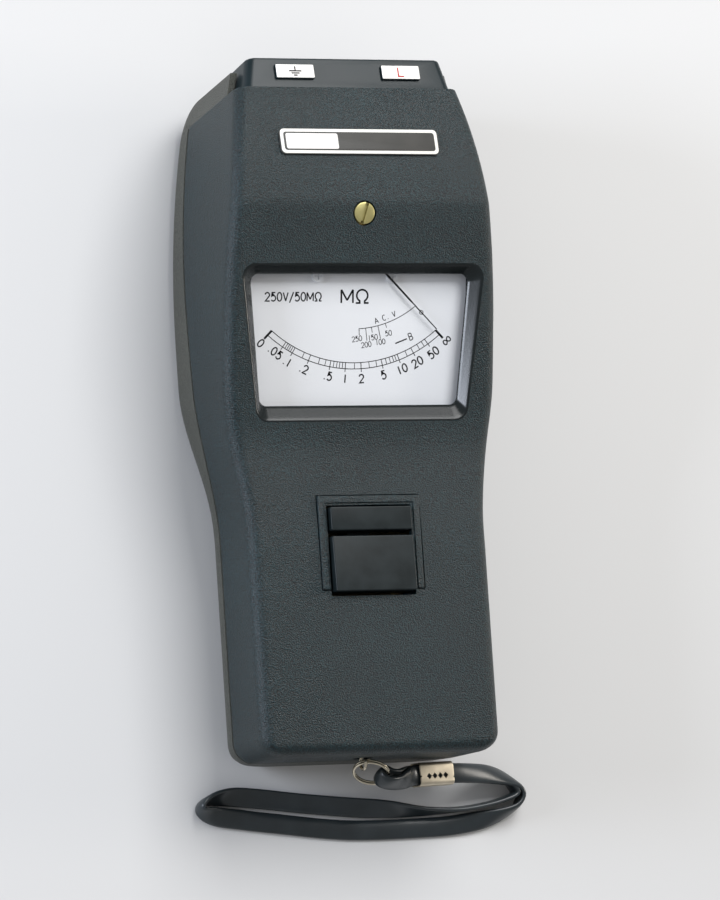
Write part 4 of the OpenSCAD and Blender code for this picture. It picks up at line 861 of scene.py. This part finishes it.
def on_clamp(points):
    """From the clamp's frame, whose x runs along it: turned down about y and aside about z."""
    p = np.asarray(points, float)
    c, s, c2, s2 = [f(turn) for turn in (CLAMP_DOWN, CLAMP_ASIDE) for f in (np.cos, np.sin)]
    x, z = c * p[..., 0] + s * p[..., 2], c * p[..., 2] - s * p[..., 0]
    return np.stack([CLAMP_AT[0] + c2 * x - s2 * p[..., 1], CLAMP_AT[1] + s2 * x + c2 * p[..., 1],
                     CLAMP_AT[2] + z], axis=-1)


def clamp_ring(x, inset):
    """The tube's section at x, as a rounded rectangle drawn in by the inset."""
    wide, half = CLAMP_W - 2 * inset, CLAMP_H / 2 - inset
    outline = rounded_outline(wide, wide, -half, half, CLAMP_R - inset, 8)
    return np.column_stack([np.full(len(outline), x), outline])


near_end = [(0.4, SHEET), (0.1, SHEET - 0.08), (0, SHEET - 0.2), (0, 0.2), (0.15, 0.03), (0.4, 0)]
other_end = [(CLAMP_LEN - x, t) for x, t in near_end[::-1]]
clamp_rings = on_clamp(np.stack([clamp_ring(x, t) for x, t in near_end[1:] + other_end + near_end[:1]]))
clamp = flip_if_inside_out(make_piece("clamp_sleeve", clamp_rings, loop_faces(clamp_rings), sharp=40))
SEAM_Y, HOLE_PITCH = -0.7, 2.1
diamond = np.array([[-1.0, 0], [0, -1.0], [1.0, 0], [0, 1.0]])
notch = np.array([[-0.9, -0.9], [0.9, 0], [-0.9, 0.9]])
cuts = [diamond + [CLAMP_LEN / 2 + HOLE_PITCH * (i - 1.5), SEAM_Y] for i in range(4)]
cuts += [notch * [0.7, 0.9] + [0, SEAM_Y], notch * [-0.7, 0.9] + [CLAMP_LEN, SEAM_Y - 0.6]]
cut(clamp, *[on_clamp(column(c, 1.5, 5)) for c in cuts], sharp=40)
sleeve_metal = finish("sleeve_metal", (196, 186, 166), (216, 206, 186), 0.4, 0.0005, 0.00001, 0.005, 1.0)
wear([clamp], sleeve_metal)
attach(clamp, "case")
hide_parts("strap_clamp")
print("clamp of", len(clamp.data.polygons), "faces")

# %% [markdown]
# ## Dial
# The dial is a white sheet with a black print: two arcs a hair flatter than circles round the
# pivot, ticks that point at the pivot, and numerals that stand square to the arc.

# %% Arcs and ticks
PIVOT_UP, INNER, OUTER, EDGE = 6.2, 43.6, 45.5, 45.4
PEN, THIN, BOLD, STOP_PEN = 0.24, 0.2, 0.42, 0.7
edge = np.radians(EDGE)


def on_scale(angle, radius):
    """The point at an angle from the pivot whose distance from the arcs' centre is radius."""
    d = np.stack([np.sin(angle), -np.cos(angle)], axis=-1)
    reach = PIVOT_UP * d[..., 1] + np.sqrt(radius ** 2 - PIVOT_UP ** 2 * d[..., 0] ** 2)
    return d * reach[..., None]


sweep = np.linspace(-edge, edge, 90)
strokes = [ribbon(on_scale(sweep, INNER), PEN), ribbon(on_scale(sweep, OUTER), PEN)]
NUMERALS = ((-36.6, ".05", -26.5, -34.0), (-31.3, ".1", -22.4, -37.0), (-22.7, ".2", -16.8, -39.2),
            (-11.9, ".5", -8.7, -41.4), (-4.2, "1", -2.9, -42.3), (3.7, "2", 2.7, -42.3),
            (14.3, "5", 10.2, -41.2), (22.9, "10", 16.5, -39.4), (30.5, "20", 21.7, -37.3),
            (38.5, "50", 27.1, -34.4))
short_ticks = [-35.4, -34.4, -33.4, -32.4, -26.1, -17.7, -14.4, -10.2, -8.6, -7.2, -5.7, 0.4, 7.8, 11.5,
               16.5, 18.5, 20.2, 21.5, 27.2, 33.9, 36.5]
ticks = [(a, 1.0, PEN) for a, *_ in NUMERALS] + [(a, 0.0, THIN) for a in short_ticks]
ticks += [(a, 1.6, STOP_PEN) for a in (-EDGE, EDGE)]
for angle, past, pen in ticks:
    a = np.radians(angle)
    strokes.append(ribbon([on_scale(a, INNER), on_scale(a, OUTER + past)], pen))
print("strokes of the scale:", len(strokes))

# %% Numerals of the scale
NUMERAL_H = 2.55
for angle, text, x, y in NUMERALS:
    strokes += letters(text, x, y, NUMERAL_H, np.radians(angle), BOLD)
strokes += letters("0", -31.4, -31.2, NUMERAL_H, -edge, BOLD)
strokes += letters("∞", 31.7, -30.7, 2.0, edge, 0.38, 0.2, 1.35)
strokes += letters("MΩ", 0.2, -16.9, 4.1, 0, 0.56, 0.2, 1.2)
strokes += letters("250V/50MΩ", -20.6, -17.0, 2.6, 0, 0.4, 0.2)

# %% The small AC scale and the battery mark
AC_R, AC_UP = 34.32, 7.38
AC_MARKS = ((2.8, 2.0, "250", 1.0, -30.0), (6.6, 3.9, "200", 4.2, -31.8), (9.9, 1.7, "150", 6.4, -29.6),
            (13.6, 4.1, "100", 9.0, -31.0), (18.0, 1.4, "50", 11.7, -28.3))


def on_ac(angle, radius):
    """A point of the small scale, whose circle has its centre above the pivot."""
    return np.stack([radius * np.sin(angle), AC_UP - radius * np.cos(angle)], axis=-1)


strokes.append(ribbon(on_ac(np.radians(np.linspace(2.6, 37.4, 40)), AC_R), 0.22))
for angle, length, *_ in AC_MARKS:
    strokes.append(ribbon(on_ac(np.radians(angle), np.array([AC_R, AC_R + length])), THIN))
for *_, text, x, y in AC_MARKS:
    strokes += letters(text, x, y, 1.6, np.radians(8), 0.2, 0.16)
strokes += letters("A C. V", 10.5, -23.4, 1.7, np.radians(19), 0.22, 0.3)
strokes.append(ribbon([(14.1, -31.5), (18.0, -30.05)], 0.4))
strokes.append(ribbon(bow(22.84, -21.9, 0.6, 0.6, 0, 360, 20), 0.22))
strokes += letters("B", 19.2, -29.4, 2.2, np.radians(22), 0.28)
printed("dial_print", strokes, on_dial, dial_ink)

# %% [markdown]
# ## Pointer
# The pointer is a blade so thin that it looks like one more black line of the print, but it stands
# off the dial and throws a soft shadow. Its hub, its tail and its weight stay behind the case.

# %% Pointer
REST = np.radians(45.5)


def on_pointer(points):
    """Turns a point by the angle at which the pointer rests, about the pivot, then puts it in place."""
    p = np.asarray(points, float)
    c, s = np.cos(REST), np.sin(REST)
    x, y, z = p[..., 0], p[..., 1], p[..., 2]
    return on_dial(np.stack([c * x - s * y, s * x + c * y, z], axis=-1))


half_blade = np.array([[0.34, 6.5], [0.34, -4], [0.26, -26], [0.17, -27], [0.13, -38.6]])
blade = column(np.concatenate([half_blade, (half_blade * [-1, 1])[::-1]]), 1.2, 1.5)
hub, weight = column(circle(0, 0, 1.7, 32), 1.0, 1.7), column(circle(0, 5.6, 1.3, 24), 0.9, 1.8)
pointer_points, pointer_faces = tubes([blade, hub, weight])
pointer = make_piece("pointer_blade", on_pointer(pointer_points), pointer_faces)
pointer_black = finish("pointer_black", (16, 16, 18), (24, 24, 26), 0.6, shine=0.2)
wear([flip_if_inside_out(pointer)], pointer_black)
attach(pointer, "pointer")
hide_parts("pointer")
print("pointer of", len(pointer.data.polygons), "faces")

# %% [markdown]
# ## Nameplate
# The nameplate is a bare printed plate: a dark edge, a white border, a dark field and a white block
# at its left end, with nothing written on it. The plate is a slab, and the print lies on it as thin
# sheets, each a hair higher than the last.

# %% Nameplate
PLATE_Y = 187.8
PLATE_Z = float(face_height(PLATE_Y))
PLATE_TURN = np.arctan((face_height(PLATE_Y + 4) - face_height(PLATE_Y - 4)) / 8)


def on_plate(points):
    """From the plate's own frame to the case's: turned about x to lie along the crowned top."""
    return leaned(points, PLATE_TURN, PLATE_Y, PLATE_Z)


plate_edge = finish("plate_border", (232, 231, 224), (240, 239, 232), 0.4)
plate_field = finish("plate_field", (58, 58, 56), (70, 69, 66), 0.45, 0.0005, 0.00001, 0.008, shine=0.3)
plate = solid("nameplate_base", on_plate(slab_rings(53.5, -4.15, 4.15, -0.5, 0.72, 1.6, 0.1)),
              plate_field, "case")
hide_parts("nameplate")
for name, wide, half, top, r, x, mat in (("nameplate_border", 53.0, 3.95, 0.78, 1.4, 0, plate_edge),
                                         ("nameplate_field", 51.0, 3.0, 0.8, 0.9, 0, plate_field),
                                         ("nameplate_block", 17.5, 2.5, 0.83, 0.6, -16.0, white_tile)):
    sheet = on_plate(slab_rings(wide, -half, half, 0.6, top, r, 0.02, 3) + [x, 0, 0])
    solid(name, sheet, mat, "case")
print("nameplate made")

# %% [markdown]
# ## Metal and hidden parts
# The remaining nodes of the CAD part keep their shapes and only need finishes. Turned brass,
# plated wire and bare steel share one recipe: a metal with a faint drift of tone and roughness.

# %% Finishes for the nodes
# Each row: the finish, its two tones, roughness, grain, relief, drift, metal and the nodes that wear it
NODE_FINISHES = [
    ("brass", (176, 146, 84), (196, 166, 100), 0.3, 0.0006, 0.00001, 0.01, 1.0,
     "earth_socket line_socket zero_lever front_bridge front_jewel rear_jewel core_spacers "
     "front_hairspring rear_hairspring"),
    ("plated_wire", (188, 180, 160), (206, 198, 180), 0.22, 0, 0, 0.01, 1.0,
     "strap_ring strap_eyelet strap_nut"),
    ("steel", (170, 170, 168), (190, 190, 188), 0.3, 0.0005, 0.00001, 0.01, 1.0,
     "bridge_screws movement_screws board_screws cover_screw case_screws key_pin pivot_staffs "
     "cell_springs cell_plates"),
    ("iron", (70, 72, 74), (86, 88, 90), 0.45, 0.0006, 0.00002, 0.01, 0.9,
     "yoke_ring core_magnet transformer_core"),
    ("copper_wire", (150, 84, 52), (170, 98, 60), 0.35, 0.0004, 0.00003, 0.006, 0.8,
     "moving_coil transformer_bobbin"),
    ("laminate", (118, 102, 62), (134, 116, 72), 0.5, 0.0006, 0.00002, 0.01, 0, "circuit_board"),
    ("blue_sleeve", (42, 66, 92), (52, 78, 106), 0.4, 0, 0, 0.006, 0, "capacitors"),
    ("tan_coating", (176, 150, 116), (190, 164, 130), 0.5, 0.0005, 0.00001, 0.005, 0, "resistors"),
    ("ivory_plastic", (206, 202, 190), (216, 212, 200), 0.4, 0.0006, 0.00001, 0.006, 0,
     "check_plunger measure_plunger"),
    ("cell_jacket", (120, 124, 128), (134, 138, 142), 0.35, 0, 0, 0.02, 0, "cells"),
    ("dial_white", (224, 226, 230), (231, 233, 236), 0.55, 0.0008, 0.000005, 0.05, 0,
     "dial_plate dial_screws")]


def wear_nodes(names, mat):
    """Gives the finish to the nodes of the CAD part that have these names."""
    wear([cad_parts[name] for name in names.split()], mat)


for *recipe, names in NODE_FINISHES:
    wear_nodes(names, finish(*recipe))
wear_nodes("movement_base battery_tray measure_switch check_switch", smooth_black)
wear_nodes("battery_cover", grained_rear_painted_light)
print("finishes of hidden parts:", len(NODE_FINISHES))

# %% [markdown]
# ## Window
# The window is clear moulded plastic. In a renderer true glass would darken the dial, because its
# shadow is not let through, so the pane is mostly see-through with a polished surface.

# %% Window
clear = finish("clear_pane", (40, 44, 46), (46, 50, 52), 0.08, drift=0.05)
put(clear.node_tree.nodes["Principled BSDF"], {"Alpha": 0.02})
wear_nodes("window", clear)
print("finishes in all:", len(bpy.data.materials))
